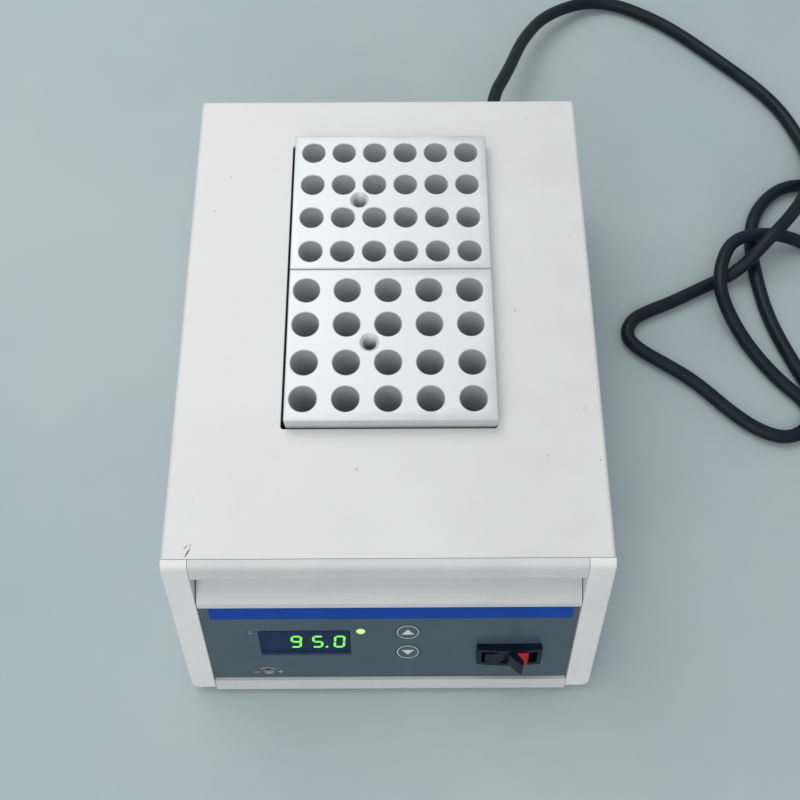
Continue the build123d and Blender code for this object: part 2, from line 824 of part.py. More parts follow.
def make_rocker_paddle():
    """Black V of the rocker with its hub and hinge pin, at rest with the left wing pressed in."""
    tip_x, tip_y = rocker_tip
    edge_x, edge_y = cap_edge()
    bulge_x, bulge_y = rocker_bulge
    hub_top = rocker_valley - rocker_cap
    valley, right_tip, left_tip = turned([(0, rocker_valley), (tip_x, tip_y), (-tip_x, tip_y)])
    right_bulge, left_bulge = turned([(bulge_x, bulge_y), (-bulge_x, bulge_y)])
    right_end, left_end = turned([(edge_x, edge_y), (-edge_x, edge_y)])
    right_web = turned([(rocker_hub, hub_top), (rocker_hub, rocker_web_end)])
    left_web = turned([(-rocker_hub, rocker_web_end), (-rocker_hub, hub_top)])
    pin_place = turned([(0, 0)])
    with BuildPart() as paddle:
        with BuildSketch(rocker_side_plane(rocker_width / 2)):
            with BuildLine():
                ThreePointArc(valley, right_bulge, right_tip)
                Polyline(right_tip, right_end, *right_web, *left_web, left_end, left_tip)
                ThreePointArc(left_tip, left_bulge, valley)
            make_face()
        extrude(amount=rocker_width)
        with BuildSketch(rocker_side_plane(housing_size[1] / 2)):
            with Locations(pin_place):
                Circle(hinge_pin)
        extrude(amount=housing_size[1])
    return paddle


def make_rocker_flag():
    """Red bodies under the two black caps; the raised wing shows its own."""
    edge_x, edge_y = cap_edge()
    end_x, end_y = rocker_end
    with BuildPart() as flag:
        for side in (1, -1):
            outline = turned(
                [
                    (side * rocker_hub, rocker_valley - rocker_cap),
                    (side * edge_x, edge_y),
                    (side * end_x, end_y),
                    (side * rocker_hub, rocker_body_end),
                ]
            )
            with BuildSketch(rocker_side_plane(rocker_width / 2 - rocker_body_gap)):
                with BuildLine():
                    Polyline(*outline, close=True)
                make_face()
            extrude(amount=rocker_width - 2 * rocker_body_gap)
    return flag


def make_rocker_terminals():
    """Four spade terminals at the back of the switch."""
    base = on_panel(rocker_place, overlay_front - housing_depth)
    with BuildPart() as terminals:
        with BuildSketch(base):
            with GridLocations(*terminal_pitch, 2, 2):
                Rectangle(terminal_size[0], terminal_size[1])
        extrude(amount=-terminal_size[2])
    return terminals


def make_calibration_trimmer():
    """Trimmer body on the display board, behind the calibration hole."""
    with BuildPart() as trimmer:
        with BuildSketch(on_panel(trimmer_place, board_front)):
            Rectangle(trimmer_size, trimmer_size)
        extrude(amount=trimmer_height)
        with BuildSketch(on_panel(trimmer_place, board_front + trimmer_height)):
            Circle(trimmer_recess[0])
        extrude(amount=-trimmer_recess[1], mode=Mode.SUBTRACT)
    return trimmer


def make_trimmer_rotor():
    """Slotted rotor that a screwdriver turns through the hole in the panel."""
    seat = board_front + trimmer_height - trimmer_recess[1]
    with BuildPart() as rotor:
        with BuildSketch(on_panel(trimmer_place, seat)):
            Circle(rotor_size[0])
        extrude(amount=rotor_size[1])
        with BuildSketch(on_panel(trimmer_place, seat + rotor_size[1])):
            Rectangle(rotor_slot[0], rotor_slot[1])
        extrude(amount=-rotor_slot[2], mode=Mode.SUBTRACT)
    return rotor


def make_heating_block(centre_y, places, radius, depth, lifting_across):
    """Aluminium block with its wells and a threaded hole for the lifting rod."""
    with BuildPart() as block:
        with Locations((blocks_centre[0], centre_y, block_top - block_size[2] / 2)):
            Box(*block_size)
        chamfer(block.edges(), block_chamfer)
        with Locations([(blocks_centre[0] + x, centre_y + y, block_top) for x, y in places]):
            Hole(radius, depth)
        with Locations((blocks_centre[0] + lifting_across, centre_y, block_top)):
            Hole(lifting_radius, lifting_depth)
    return block


def make_block_well():
    """Open tray of aluminium that the blocks stand in, with a bore for the probe and clamp screw holes."""
    with BuildPart() as well:
        with BuildSketch(Plane.XY.offset(tray_bottom)):
            with Locations(opening_centre):
                RectangleRounded(*tray_outer, opening_corner + tray_clearance + tray_wall)
        extrude(amount=tray_top - tray_bottom)
        with BuildSketch(Plane.XY.offset(block_bottom)):
            with Locations(opening_centre):
                RectangleRounded(*tray_inner, opening_corner + tray_clearance)
        extrude(amount=tray_top - block_bottom, mode=Mode.SUBTRACT)
        front = opening_centre[1] - tray_outer[1] / 2
        with BuildSketch(Plane.XZ.offset(-front)):
            with Locations((probe_across, tray_bottom + tray_floor / 2)):
                Circle(probe_radius + probe_gap)
        extrude(amount=-(probe_length + tray_skin), mode=Mode.SUBTRACT)
        with BuildSketch(Plane.XY.offset(tray_bottom)):
            with Locations(opening_centre):
                with GridLocations(*clamp_screw_pitch, 2, 2):
                    Circle(screw_hole)
        extrude(amount=tray_floor - tray_skin, mode=Mode.SUBTRACT)
    return well


def make_plate(size, bottom):
    """Flat plate under the well with the clamp screw holes, used for the heater and for its clamp."""
    with BuildPart() as plate:
        with BuildSketch(Plane.XY.offset(bottom)):
            with Locations(opening_centre):
                RectangleRounded(size[0], size[1], plate_corner)
                with GridLocations(*clamp_screw_pitch, 2, 2):
                    Circle(screw_hole, mode=Mode.SUBTRACT)
        extrude(amount=size[2])
    return plate


def make_clamp_screws():
    """Four screws that hold the heater against the well's floor, heads down."""
    places = corner_places(opening_centre, clamp_screw_pitch)
    with BuildPart() as screws:
        with Locations(*[screw_plane((x, y, clamp_bottom), (0, 0, -1)) for x, y in places]):
            add(make_screw(long_screw))
    return screws


def make_temperature_sensor():
    """Steel probe in the well's floor."""
    front = opening_centre[1] - tray_outer[1] / 2
    with BuildPart() as probe:
        with BuildSketch(Plane.XZ.offset(-front)):
            with Locations((probe_across, tray_bottom + tray_floor / 2)):
                Circle(probe_radius)
        extrude(amount=-probe_length)
    return probe


def make_thermal_cutoff():
    """Disc thermostat that cuts the heater if it overheats, against the clamp plate."""
    with BuildPart() as cutoff:
        with BuildSketch(Plane.XY.offset(clamp_bottom)):
            with Locations(opening_centre):
                Circle(cutoff_radius + cutoff_flange[0])
        extrude(amount=-cutoff_flange[1])
        with BuildSketch(Plane.XY.offset(clamp_bottom)):
            with Locations(opening_centre):
                Circle(cutoff_radius)
        extrude(amount=-cutoff_height)
    return cutoff


def make_well_insulation():
    """Insulating wall round the well, from the pan to just under the cover."""
    with BuildPart() as ring:
        with BuildSketch(Plane.XY.offset(pan_top)):
            with Locations(opening_centre):
                RectangleRounded(*ring_outer, 2 * opening_corner)
                RectangleRounded(*ring_inner, 2 * opening_corner, mode=Mode.SUBTRACT)
        extrude(amount=tray_top - pan_top)
    return ring


def make_insulation_pad():
    """Insulating pad on the pan under the well, with holes for the spacers."""
    with BuildPart() as pad:
        with BuildSketch(Plane.XY.offset(pan_top)):
            with Locations(opening_centre):
                RectangleRounded(*[size - 2 * fit_gap for size in ring_inner], 2 * opening_corner)
                with GridLocations(*spacer_pitch, 2, 2):
                    Circle(spacer_radius + fit_gap, mode=Mode.SUBTRACT)
        extrude(amount=pad_height)
    return pad


def make_chamber_spacers():
    """Four ceramic spacers that carry the well above the pan."""
    with BuildPart() as spacers:
        with BuildSketch(Plane.XY.offset(pan_top)):
            with Locations(opening_centre):
                with GridLocations(*spacer_pitch, 2, 2):
                    Circle(spacer_radius)
        extrude(amount=tray_bottom - pan_top)
    return spacers


def make_heat_shield():
    """Sheet wall between the hot well and the circuit boards, on a turned foot."""
    shield_top = tray_top - shield_below_tray_top
    with BuildPart() as shield:
        with BuildSketch(Plane.YZ.offset(-shield_width / 2)):
            with BuildLine():
                Polyline(
                    (shield_y, pan_top),
                    (shield_y, shield_top),
                    (shield_y + shield_thickness, shield_top),
                    (shield_y + shield_thickness, pan_top + shield_thickness),
                    (shield_y + shield_foot, pan_top + shield_thickness),
                    (shield_y + shield_foot, pan_top),
                    close=True,
                )
            make_face()
        extrude(amount=shield_width)
    return shield


def make_power_board():
    """Power circuit board on its posts behind the panel."""
    with BuildPart() as board:
        with BuildSketch(Plane.XY.offset(power_board_bottom)):
            with Locations(power_board_centre):
                Rectangle(*power_board_size)
                with GridLocations(*power_post_pitch, 2, 2):
                    Circle(screw_hole, mode=Mode.SUBTRACT)
        extrude(amount=board_thickness)
    return board


def make_power_board_posts():
    """Four posts between the pan and the power board."""
    with BuildPart() as posts:
        with BuildSketch(Plane.XY.offset(pan_top)):
            with Locations(power_board_centre):
                with GridLocations(*power_post_pitch, 2, 2):
                    RegularPolygon(post_radius, 6)
                with GridLocations(*power_post_pitch, 2, 2):
                    Circle(screw_hole, mode=Mode.SUBTRACT)
        extrude(amount=power_board_lift)
    return posts


def on_power_board(place, height=0.0):
    """Sketch plane on the power board at a place given from its middle."""
    centre = (power_board_centre[0] + place[0], power_board_centre[1] + place[1])
    return Plane(origin=(*centre, power_board_top + height))


def make_transformer():
    """Mains transformer: laminated core with its winding."""
    with BuildPart() as transformer:
        with BuildSketch(on_power_board(transformer_place)):
            Rectangle(transformer_core[0], transformer_core[1])
        extrude(amount=transformer_core[2])
        with BuildSketch(on_power_board(transformer_place, winding_lift)):
            RectangleRounded(transformer_winding[0], transformer_winding[1], winding_corner)
        extrude(amount=transformer_winding[2])
    return transformer


def make_heat_sink():
    """Finned heat sink of the power switch."""
    fin_shift = (sink_plate[1] + fin_size[1]) / 2 - 1.0
    with BuildPart() as sink:
        with BuildSketch(on_power_board(sink_place)):
            Rectangle(sink_plate[0], sink_plate[1])
            with Locations((0, fin_shift)):
                with GridLocations(fin_pitch, 1, fin_count, 1):
                    Rectangle(*fin_size)
        extrude(amount=sink_plate[2])
    return sink


def make_triac():
    """Power switch with its three legs, flat against the heat sink."""
    body_place = (sink_place[0], sink_place[1] - (sink_plate[1] + triac_size[1]) / 2)
    with BuildPart() as triac:
        with BuildSketch(on_power_board(body_place, triac_lift)):
            Rectangle(triac_size[0], triac_size[1])
        extrude(amount=triac_size[2])
        with BuildSketch(on_power_board((sink_place[0], sink_place[1] - leg_ahead))):
            with GridLocations(leg_pitch, 1, 3, 1):
                Rectangle(leg_size[0], leg_size[1])
        extrude(amount=leg_size[2])
    return triac


def make_terminal_block():
    """Screw terminals for the mains and heater wires."""
    rear = on_power_board(terminal_block_place).origin.Y + terminal_block_size[1] / 2
    across = on_power_board(terminal_block_place).origin.X
    with BuildPart() as block:
        with BuildSketch(on_power_board(terminal_block_place)):
            Rectangle(terminal_block_size[0], terminal_block_size[1])
        extrude(amount=terminal_block_size[2])
        with BuildSketch(Plane.XZ.offset(-rear)):
            with Locations((across, power_board_top + way_mouth_height)):
                with GridLocations(way_pitch, 1, way_count, 1):
                    Rectangle(way_mouth[0], way_mouth[1])
        extrude(amount=way_mouth[2], mode=Mode.SUBTRACT)
        with BuildSketch(on_power_board(terminal_block_place, terminal_block_size[2])):
            with GridLocations(way_pitch, 1, way_count, 1):
                Circle(way_screw[0])
        extrude(amount=-way_screw[1], mode=Mode.SUBTRACT)
    return block


def make_fuse():
    """Glass fuse in its two clips."""
    axis = on_power_board(fuse_place, fuse_height).origin
    with BuildPart() as fuse:
        with BuildSketch(Plane.YZ.offset(axis.X - fuse_tube[1] / 2)):
            with Locations((axis.Y, axis.Z)):
                Circle(fuse_tube[0])
        extrude(amount=fuse_tube[1])
        with BuildSketch(on_power_board(fuse_place)):
            with GridLocations(clip_pitch, 1, 2, 1):
                Rectangle(clip_size[0], clip_size[1])
        extrude(amount=clip_size[2])
    return fuse


def make_rubber_feet():
    """Four feet under the pan, each with a recess for its screw."""
    with BuildPart() as feet:
        with BuildSketch(Plane.XY):
            with Locations((0, foot_centre_y)):
                with GridLocations(*foot_pitch, 2, 2):
                    Circle(foot_radius)
                    Circle(screw_hole, mode=Mode.SUBTRACT)
        extrude(amount=pan_bottom, taper=foot_taper)
        with BuildSketch(Plane.XY):
            with Locations((0, foot_centre_y)):
                with GridLocations(*foot_pitch, 2, 2):
                    Circle(screw_head_radius + foot_recess_gap)
        extrude(amount=foot_recess, mode=Mode.SUBTRACT)
    return feet


def make_foot_screws():
    """Screws of the feet, heads in the recesses."""
    places = corner_places((0, foot_centre_y), foot_pitch)
    with BuildPart() as screws:
        with Locations(*[screw_plane((x, y, foot_recess), (0, 0, -1)) for x, y in places]):
            add(make_screw(pan_top - foot_recess + pan_sheet))
    return screws


def make_cover_screws():
    """Screws of the cover: three under each side and three in the back."""
    sides = [(x, y, bottom_z) for x, y in side_screw_places()]
    backs = [(x, back_y, rear_screw_z) for x in rear_screw_x]
    with BuildPart() as screws:
        with Locations(*[screw_plane(place, (0, 0, -1)) for place in sides]):
            add(make_screw(sheet_screw))
        with Locations(*[screw_plane(place, (0, 1, 0)) for place in backs]):
            add(make_screw(sheet_screw))
    return screws


def make_front_screws():
    """Screws that join the panel frame to the cheeks, the lip and the pan."""
    ends = []
    for side in (-1, 1):
        head_x = side * (frame_half - end_wall) + frame_shift
        for down, out in cheek_screw_places:
            ends.append(screw_plane((head_x, *side_point(down, out)), (-side, 0, 0)))
    seat = top_z - cover_sheet - fit_gap - tongue_thickness / 2
    with BuildPart() as screws:
        with Locations(*ends):
            add(make_screw(long_screw))
        with Locations(*[screw_plane((x, rail_screw_y, bottom_z), (0, 0, -1)) for x in rail_screw_across]):
            add(make_screw(sheet_screw))
        with Locations(*[screw_plane((x, lip_screw_y, seat), (0, 0, 1)) for x in lip_screw_across]):
            add(make_screw(long_screw, tongue_thickness / 2))
    return screws


def make_board_screws():
    """Screws of the display board and the power board."""
    backs = [on_panel(place, board_back) for place in board_post_places]
    tops = corner_places(power_board_centre, power_post_pitch)
    with BuildPart() as screws:
        with Locations(*[screw_plane(back.origin, -back.z_dir) for back in backs]):
            add(make_screw(board_screw))
        with Locations(*[screw_plane((x, y, power_board_top), (0, 0, 1)) for x, y in tops]):
            add(make_screw(board_screw))
    return screws


def make_strain_relief():
    """Cord gland in the back wall: flange, barrel, nut and a tapered boot."""
    wall = Plane(origin=(gland_across, back_y, gland_height), x_dir=(1, 0, 0), z_dir=(0, 1, 0))
    with BuildPart() as relief:
        with BuildSketch(wall):
            Circle(gland_flange)
        extrude(amount=gland_flange_thickness)
        with BuildSketch(wall):
            Circle(gland_barrel)
        extrude(amount=-gland_barrel_length)
        with BuildSketch(wall.offset(-cover_sheet)):
            RegularPolygon(gland_flange, 6)
        extrude(amount=-gland_nut)
        with BuildSketch(wall.offset(gland_flange_thickness)):
            Circle(boot_radii[0])
        with BuildSketch(wall.offset(gland_flange_thickness + boot_length)):
            Circle(boot_radii[1])
        loft()
    return relief


cord_route = [
    (60.5, 170.0, 38.0),
    (60.5, 187.0, 38.0),
    (73.0, 216.0, 28.5),
    (85.5, 251.0, 19.5),
    (105.0, 280.0, 11.0),
    (141.5, 298.5, 4.0),
    (180.5, 278.5, 3.8),
    (211.5, 248.5, 3.8),
    (244.5, 214.0, 3.8),
    (258.0, 181.5, 3.8),
    (257.5, 158.0, 9.5),
    (249.5, 138.0, 16.0),
    (235.5, 117.5, 21.5),
    (216.0, 98.0, 20.5),
    (203.5, 87.0, 6.5),
    (186.0, 80.0, 3.8),
    (164.0, 69.0, 3.8),
    (148.0, 62.5, 3.8),
    (138.5, 57.0, 3.8),
    (134.5, 47.0, 3.8),
    (141.5, 38.5, 3.8),
    (153.0, 31.0, 3.8),
    (170.5, 19.0, 3.8),
    (189.5, -1.0, 3.8),
    (203.5, -11.5, 3.8),
    (218.5, -15.5, 3.8),
    (231.5, -7.5, 3.8),
    (232.0, 5.0, 3.8),
    (217.0, 19.5, 3.8),
    (201.5, 43.5, 3.8),
    (189.5, 66.5, 11.5),
    (189.5, 84.0, 14.0),
    (199.5, 104.5, 13.5),
    (218.5, 109.0, 13.5),
    (240.0, 110.0, 6.5),
    (262.0, 97.0, 3.8),
    (290.0, 99.5, 3.8),
    (307.0, 119.5, 3.8),
    (300.0, 144.5, 3.8),
    (279.5, 156.0, 3.8),
    (257.0, 149.0, 3.8),
    (238.5, 147.5, 3.8),
    (221.0, 131.0, 3.8),
    (214.5, 110.5, 3.8),
    (214.5, 84.0, 3.8),
    (218.0, 56.0, 3.8),
    (229.0, 25.5, 3.8),
    (239.5, 4.0, 3.8),
    (239.5, -7.0, 3.8),
]

tail_route = [
    (324.0, -4.0, 11.3),
    (324.0, 9.0, 11.3),
    (327.5, 29.0, 6.0),
    (330.0, 50.0, 9.5),
    plug_start,
]


def route_radii(points):
    """Radius of the arc at each corner of a cord's route: as large as its two runs allow."""
    radii = []
    for before, here, after in zip(points, points[1:], points[2:]):
        run_in = Vector(*here) - Vector(*before)
        run_out = Vector(*after) - Vector(*here)
        turn = radians(run_in.get_angle(run_out))
        radii.append(0.45 * min(run_in.length, run_out.length) / tan(turn / 2))
    return radii


def make_cord(points):
    """Round cord along straight runs joined by tangent arcs."""
    with BuildPart() as cord:
        with BuildLine() as path:
            FilletPolyline(*points, radius=route_radii(points))
        route = path.wires()[0]
        with BuildSketch(Plane(origin=route @ 0, z_dir=route % 0)):
            Circle(cord_radius)
        sweep()
    return cord, route.length


def make_cord_coil():
    """Outer shape of the coil that puts the rest of the cord away, with its two straight ends."""
    with BuildPart() as coil:
        with BuildSketch(Plane.XY.offset(floor_gap)):
            with Locations(coil_centre):
                Circle(coil_radii[1])
                Circle(coil_radii[0], mode=Mode.SUBTRACT)
        extrude(amount=coil_height)
        fillet(coil.edges().sort_by(Axis.Z)[-2:], cord_radius)
        for end in (cord_route[-1], tail_route[0]):
            with BuildSketch(Plane(origin=end, z_dir=(0, -1, 0))):
                Circle(cord_radius)
            extrude(amount=end[1] - coil_centre[1])
    return coil


def make_mains_plug():
    """Moulded plug lying on the table, with its own tapered boot."""
    start = Plane(origin=plug_start, x_dir=(1, 0, 0), z_dir=(0, 1, 0))
    with BuildPart() as plug:
        with BuildSketch(start):
            Circle(plug_boot_radii[0])
        with BuildSketch(start.offset(plug_boot_length)):
            Circle(plug_boot_radii[1])
        loft()
        with BuildSketch(start.offset(plug_boot_length)):
            RectangleRounded(*plug_neck, plug_corner - 1)
        with BuildSketch(start.offset(plug_boot_length + plug_shoulder)):
            RectangleRounded(plug_body[0], plug_body[2], plug_corner)
        loft()
        with BuildSketch(start.offset(plug_boot_length + plug_shoulder)):
            RectangleRounded(plug_body[0], plug_body[2], plug_corner)
        extrude(amount=plug_body[1] - plug_shoulder)
    return plug


def make_plug_pins():
    """Two flat blades and a round earth pin."""
    start = Plane(origin=plug_start, x_dir=(1, 0, 0), z_dir=(0, 1, 0))
    with BuildPart() as pins:
        with BuildSketch(start.offset(plug_boot_length + plug_body[1])):
            with Locations((-blade_pitch / 2, blade_height), (blade_pitch / 2, blade_height)):
                Rectangle(*blade_size)
            with Locations((0, earth_pin_height)):
                Circle(earth_pin_radius)
        extrude(amount=pin_length)
    return pins


power_cord, cord_length = make_cord(cord_route)
cord_tail, tail_length = make_cord(tail_route)
for title, solid, length in (
    ("power_cord", power_cord.part, cord_length),
    ("cord_tail", cord_tail.part, tail_length),
):
    section = pi * cord_radius**2
    print(title, "length", round(length, 1), "volume over section", round(solid.volume / section, 1))

pieces = {
    "top_cover": make_top_cover(),
    "base_pan": make_base_pan(),
    "left_cheek": make_cheek(-1),
    "right_cheek": make_cheek(1),
    "front_lip": make_front_lip(),
    "panel_frame": make_panel_frame(),
    "panel_overlay": make_panel_overlay(),
    "display_window": make_display_window(),
    "display_digits": make_display_digits(),
    "display_board": make_display_board(),
    "board_standoffs": make_board_standoffs(),
    "tact_switches": make_tact_switches(),
    "rocker_housing": make_rocker_housing(),
    "rocker_paddle": make_rocker_paddle(),
    "rocker_flag": make_rocker_flag(),
    "rocker_terminals": make_rocker_terminals(),
    "calibration_trimmer": make_calibration_trimmer(),
    "trimmer_rotor": make_trimmer_rotor(),
    "block_well": make_block_well(),
    "heater_plate": make_plate(heater_size, heater_bottom),
    "heater_clamp": make_plate(clamp_size, clamp_bottom),
    "clamp_screws": make_clamp_screws(),
    "temperature_sensor": make_temperature_sensor(),
    "thermal_cutoff": make_thermal_cutoff(),
    "well_insulation": make_well_insulation(),
    "insulation_pad": make_insulation_pad(),
    "chamber_spacers": make_chamber_spacers(),
    "heat_shield": make_heat_shield(),
    "power_board": make_power_board(),
    "power_board_posts": make_power_board_posts(),
    "transformer": make_transformer(),
    "heat_sink": make_heat_sink(),
    "triac": make_triac(),
    "terminal_block": make_terminal_block(),
    "fuse": make_fuse(),
    "rubber_feet": make_rubber_feet(),
    "foot_screws": make_foot_screws(),
    "cover_screws": make_cover_screws(),
    "front_screws": make_front_screws(),
    "board_screws": make_board_screws(),
    "strain_relief": make_strain_relief(),
    "power_cord": power_cord,
    "cord_coil": make_cord_coil(),
    "cord_tail": cord_tail,
    "mains_plug": make_mains_plug(),
    "plug_pins": make_plug_pins(),
}
for name, place in lamp_places.items():
    pieces[name] = make_lamp(place)
for name, place in key_places.items():
    pieces[name] = make_key(place)
pieces["rear_heating_block"] = make_heating_block(
    rear_block_y,
    block_places(rear_well_pitch, rear_wells, rear_well_shift),
    rear_well_radius,
    rear_well_depth,
    rear_lifting_across,
)
pieces["front_heating_block"] = make_heating_block(
    front_block_y,
    front_well_places(),
    front_well_radius,
    front_well_depth,
    front_lifting_across,
)

for name, piece in pieces.items():
    piece.part.label = name
    export_step(piece.part, f"parts/{name}.step")
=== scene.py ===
from math import cos, pi, radians, sin

import bmesh
import bpy
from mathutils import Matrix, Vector


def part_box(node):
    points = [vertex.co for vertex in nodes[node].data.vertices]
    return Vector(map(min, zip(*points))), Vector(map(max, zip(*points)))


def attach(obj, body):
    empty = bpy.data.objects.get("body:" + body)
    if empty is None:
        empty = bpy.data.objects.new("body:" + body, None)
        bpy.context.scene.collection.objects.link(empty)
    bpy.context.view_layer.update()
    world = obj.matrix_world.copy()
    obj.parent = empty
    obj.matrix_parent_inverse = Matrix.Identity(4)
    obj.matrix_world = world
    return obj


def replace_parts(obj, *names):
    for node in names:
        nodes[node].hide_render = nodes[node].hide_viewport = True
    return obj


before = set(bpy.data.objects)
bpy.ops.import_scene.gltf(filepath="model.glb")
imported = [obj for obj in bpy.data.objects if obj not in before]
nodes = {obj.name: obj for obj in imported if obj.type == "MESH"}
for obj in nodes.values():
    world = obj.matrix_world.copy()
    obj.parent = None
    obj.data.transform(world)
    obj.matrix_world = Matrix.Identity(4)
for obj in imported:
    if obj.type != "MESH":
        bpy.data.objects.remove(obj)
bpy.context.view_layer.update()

MM = 0.001

# Camera, fitted to the photograph; lens and sensor in millimetres
CAMERA_PLACE = Vector((4.5, -176.5, 469.9)) * MM
CAMERA_PITCH = radians(21.65)
CAMERA_YAW = radians(-0.30)
LENS = 40.65
SENSOR_WIDTH = 36

# Meshes: the least angle between faces that stays sharp, and the sides of round outlines and cuts
SHARP_ANGLE = radians(35)
ROUND_SIDES = 48

# Slanted front: its lean from upright, its upper corner, and how far out of its plane things lie
LEAN = radians(27.0)
FRONT_CORNER = Vector((0.0, -100.9, 88.5)) * MM
OVERLAY_OUT = -1.1
KEY_OUT = -0.95
DIGIT_OUT = -3.0

# Printing, in millimetres across and down the slope: its thickness, and the stripe's four sides
INK = 0.03
STRIPE = (-81.2, 82.8, 30.6, 39.0)

# Keys: middle across and down, 1 for an arrow up or -1 for one down; then their ring and arrow
KEYS = {"up_key": (8.45, 49.49, 1), "down_key": (8.45, 65.44, -1)}
KEY_BODIES = {"up_key": "up_button", "down_key": "down_button"}
RING_RADII = (5.15, 4.75)
ARROW_TIP = 2.1
ARROW_BASE = 1.7
ARROW_HALF_WIDTH = 3.0

# Marks round the calibration hole: a minus and a plus beside it, and an arc over it in short flat pieces
TRIMMER_PLACE = (-59.0, 82.1)
MINUS_SHIFT = -5.6
PLUS_SHIFT = (6.0, -0.3)
SIGN_REACH = 1.2
SIGN_HALF_LINE = 0.15
ARC_RADII = (4.4, 4.15)
ARC_START = 35
ARC_SPAN = 110
ARC_PIECES = 8
ARC_SQUASH = 0.9

# Digits: middle across, what is shown, and whether its point is lit; then their bars and points
DIGITS = [(-54.1, "", False), (-43.9, "9", False), (-33.8, "5", True), (-23.6, "0", False)]
DIGIT_MIDDLE = 59.6
DIGIT_SIZE = (5.4, 9.5)
DIGIT_SLANT = 0.09
BAR_WIDTH = 1.15
BAR_GAP = 0.18
ALL_BARS = "abcdefg"
SHOWN_BARS = {"": "", "9": "abcdfg", "5": "acdfg", "0": "abcdef"}
POINT_SHIFT = (4.1, -0.6)
POINT_RADIUS = 0.65
POINT_SIDES = 20
LIT_THICKNESS = 0.12
UNLIT_THICKNESS = 0.08

# Heating blocks: places of the wells round the block's middle, and their radius and depth
REAR_COUNT = (6, 4)
REAR_PITCH = (15.17, 18.83)
REAR_SHIFT = (-0.26, -0.37)
REAR_WELL = (5.65, 36.0)
FRONT_COLUMNS = 5
FRONT_PITCH = 19.07
FRONT_SHIFT = -1.17
FRONT_ROWS = (-27.59, -9.9, 9.34, 27.03)
FRONT_WELL = (6.2, 42.0)
BLOCK_EDGE = 0.6
RIM = 0.35
CUT_ABOVE = 1.0

# Foot of a well: in from its wall and up from its depth, down to the middle of its rounded end
WELL_FOOT = ((0.0, 2.5), (0.9, 0.9), (2.6, 0.1))

# Tapped lifting holes: their places left of the block's middle, and the hole
REAR_LIFT_SHIFT = 15.2
FRONT_LIFT_SHIFT = 9.75
LIFT_RADIUS = 3.95
LIFT_DEPTH = 20.0
COUNTERSINK = 0.6
THREAD_PITCH = 1.41
THREAD_HEIGHT = 0.75
THREAD_END = 1.5
BORE_END = 0.5
DRILL_TIP = (0.6, 1.5)

# Scuffs on the cover: across, along, length, width, and turn in degrees
CASING_TOP = 88.5
SCUFF_OUT = 0.03
SCUFFS = [
    (-85.6, -94.6, 5.5, 0.9, 62),
    (-86.6, -92.2, 3.4, 0.5, 48),
    (-84.7, -91.4, 2.2, 0.4, 80),
    (60.0, 20.0, 1.4, 0.5, 20),
    (-79.0, 96.0, 1.0, 0.6, 70),
    (71.0, -52.0, 1.2, 0.4, 110),
]

# Heads of the cover's rear screws, and one bar of the black cross laid on each head as painted shade of its
# recess: long, proud and wide
REAR_SCREWS = (-75.0, -10.0, 30.0)
REAR_SCREW_Z = 14.5
REAR_HEAD_Y = 145.5
RECESS_SHADE_BAR = (3.2, 0.1, 0.7)

# Mains lead: control points of the run on the table and of the tail that ends in the plug
CORD_RADIUS = 3.75
CORD_ROUTE = [
    (60.5, 170.0, 38.0),
    (60.5, 187.0, 38.0),
    (73.0, 216.0, 28.5),
    (85.5, 251.0, 19.5),
    (105.0, 280.0, 11.0),
    (141.5, 298.5, 4.0),
    (180.5, 278.5, 3.8),
    (211.5, 248.5, 3.8),
    (244.5, 214.0, 3.8),
    (258.0, 181.5, 3.8),
    (257.5, 158.0, 9.5),
    (249.5, 138.0, 16.0),
    (235.5, 117.5, 21.5),
    (216.0, 98.0, 20.5),
    (203.5, 87.0, 6.5),
    (186.0, 80.0, 3.8),
    (164.0, 69.0, 3.8),
    (148.0, 62.5, 3.8),
    (138.5, 57.0, 3.8),
    (134.5, 47.0, 3.8),
    (141.5, 38.5, 3.8),
    (153.0, 31.0, 3.8),
    (170.5, 19.0, 3.8),
    (189.5, -1.0, 3.8),
    (203.5, -11.5, 3.8),
    (218.5, -15.5, 3.8),
    (231.5, -7.5, 3.8),
    (232.0, 5.0, 3.8),
    (217.0, 19.5, 3.8),
    (201.5, 43.5, 3.8),
    (189.5, 66.5, 11.5),
    (189.5, 84.0, 14.0),
    (199.5, 104.5, 13.5),
    (218.5, 109.0, 13.5),
    (240.0, 110.0, 6.5),
    (262.0, 97.0, 3.8),
    (290.0, 99.5, 3.8),
    (307.0, 119.5, 3.8),
    (300.0, 144.5, 3.8),
    (279.5, 156.0, 3.8),
    (257.0, 149.0, 3.8),
    (238.5, 147.5, 3.8),
    (221.0, 131.0, 3.8),
    (214.5, 110.5, 3.8),
    (214.5, 84.0, 3.8),
    (218.0, 56.0, 3.8),
    (229.0, 25.5, 3.8),
    (239.5, 4.0, 3.8),
    (239.5, -7.0, 3.8),
]
TAIL_ROUTE = [
    (324.0, -4.0, 11.3),
    (324.0, 9.0, 11.3),
    (327.5, 29.0, 6.0),
    (330.0, 50.0, 9.5),
    (330.0, 68.0, 9.5),
]

# Coil: outer, inner and upper radius, lower and upper height, then start and span, in turns, of its
# steps inward, outward again and up
COIL_CENTRE = (283.0, -35.0)
COIL_TURNS = 2.5
COIL_STEPS = 16
COIL_RADII = (43.5, 36.2, 41.0)
COIL_HEIGHTS = (3.8, 11.3)
COIL_CHANGES = ((0.7, 0.3), (1.9, 0.5), (1.52, 0.28))

# Tie of the coil: middle and half size of its inner outline, along a radius of the coil and up
TIE_SIDES = 40
TIE_MIDDLE = (39.8, 7.6)
TIE_HALF_SIZE = (8.6, 7.55)
TIE_SQUARENESS = 4
TIE_WIDTH = 9.0
TIE_THICKNESS = 0.7
TIE_LOWEST = 0.06

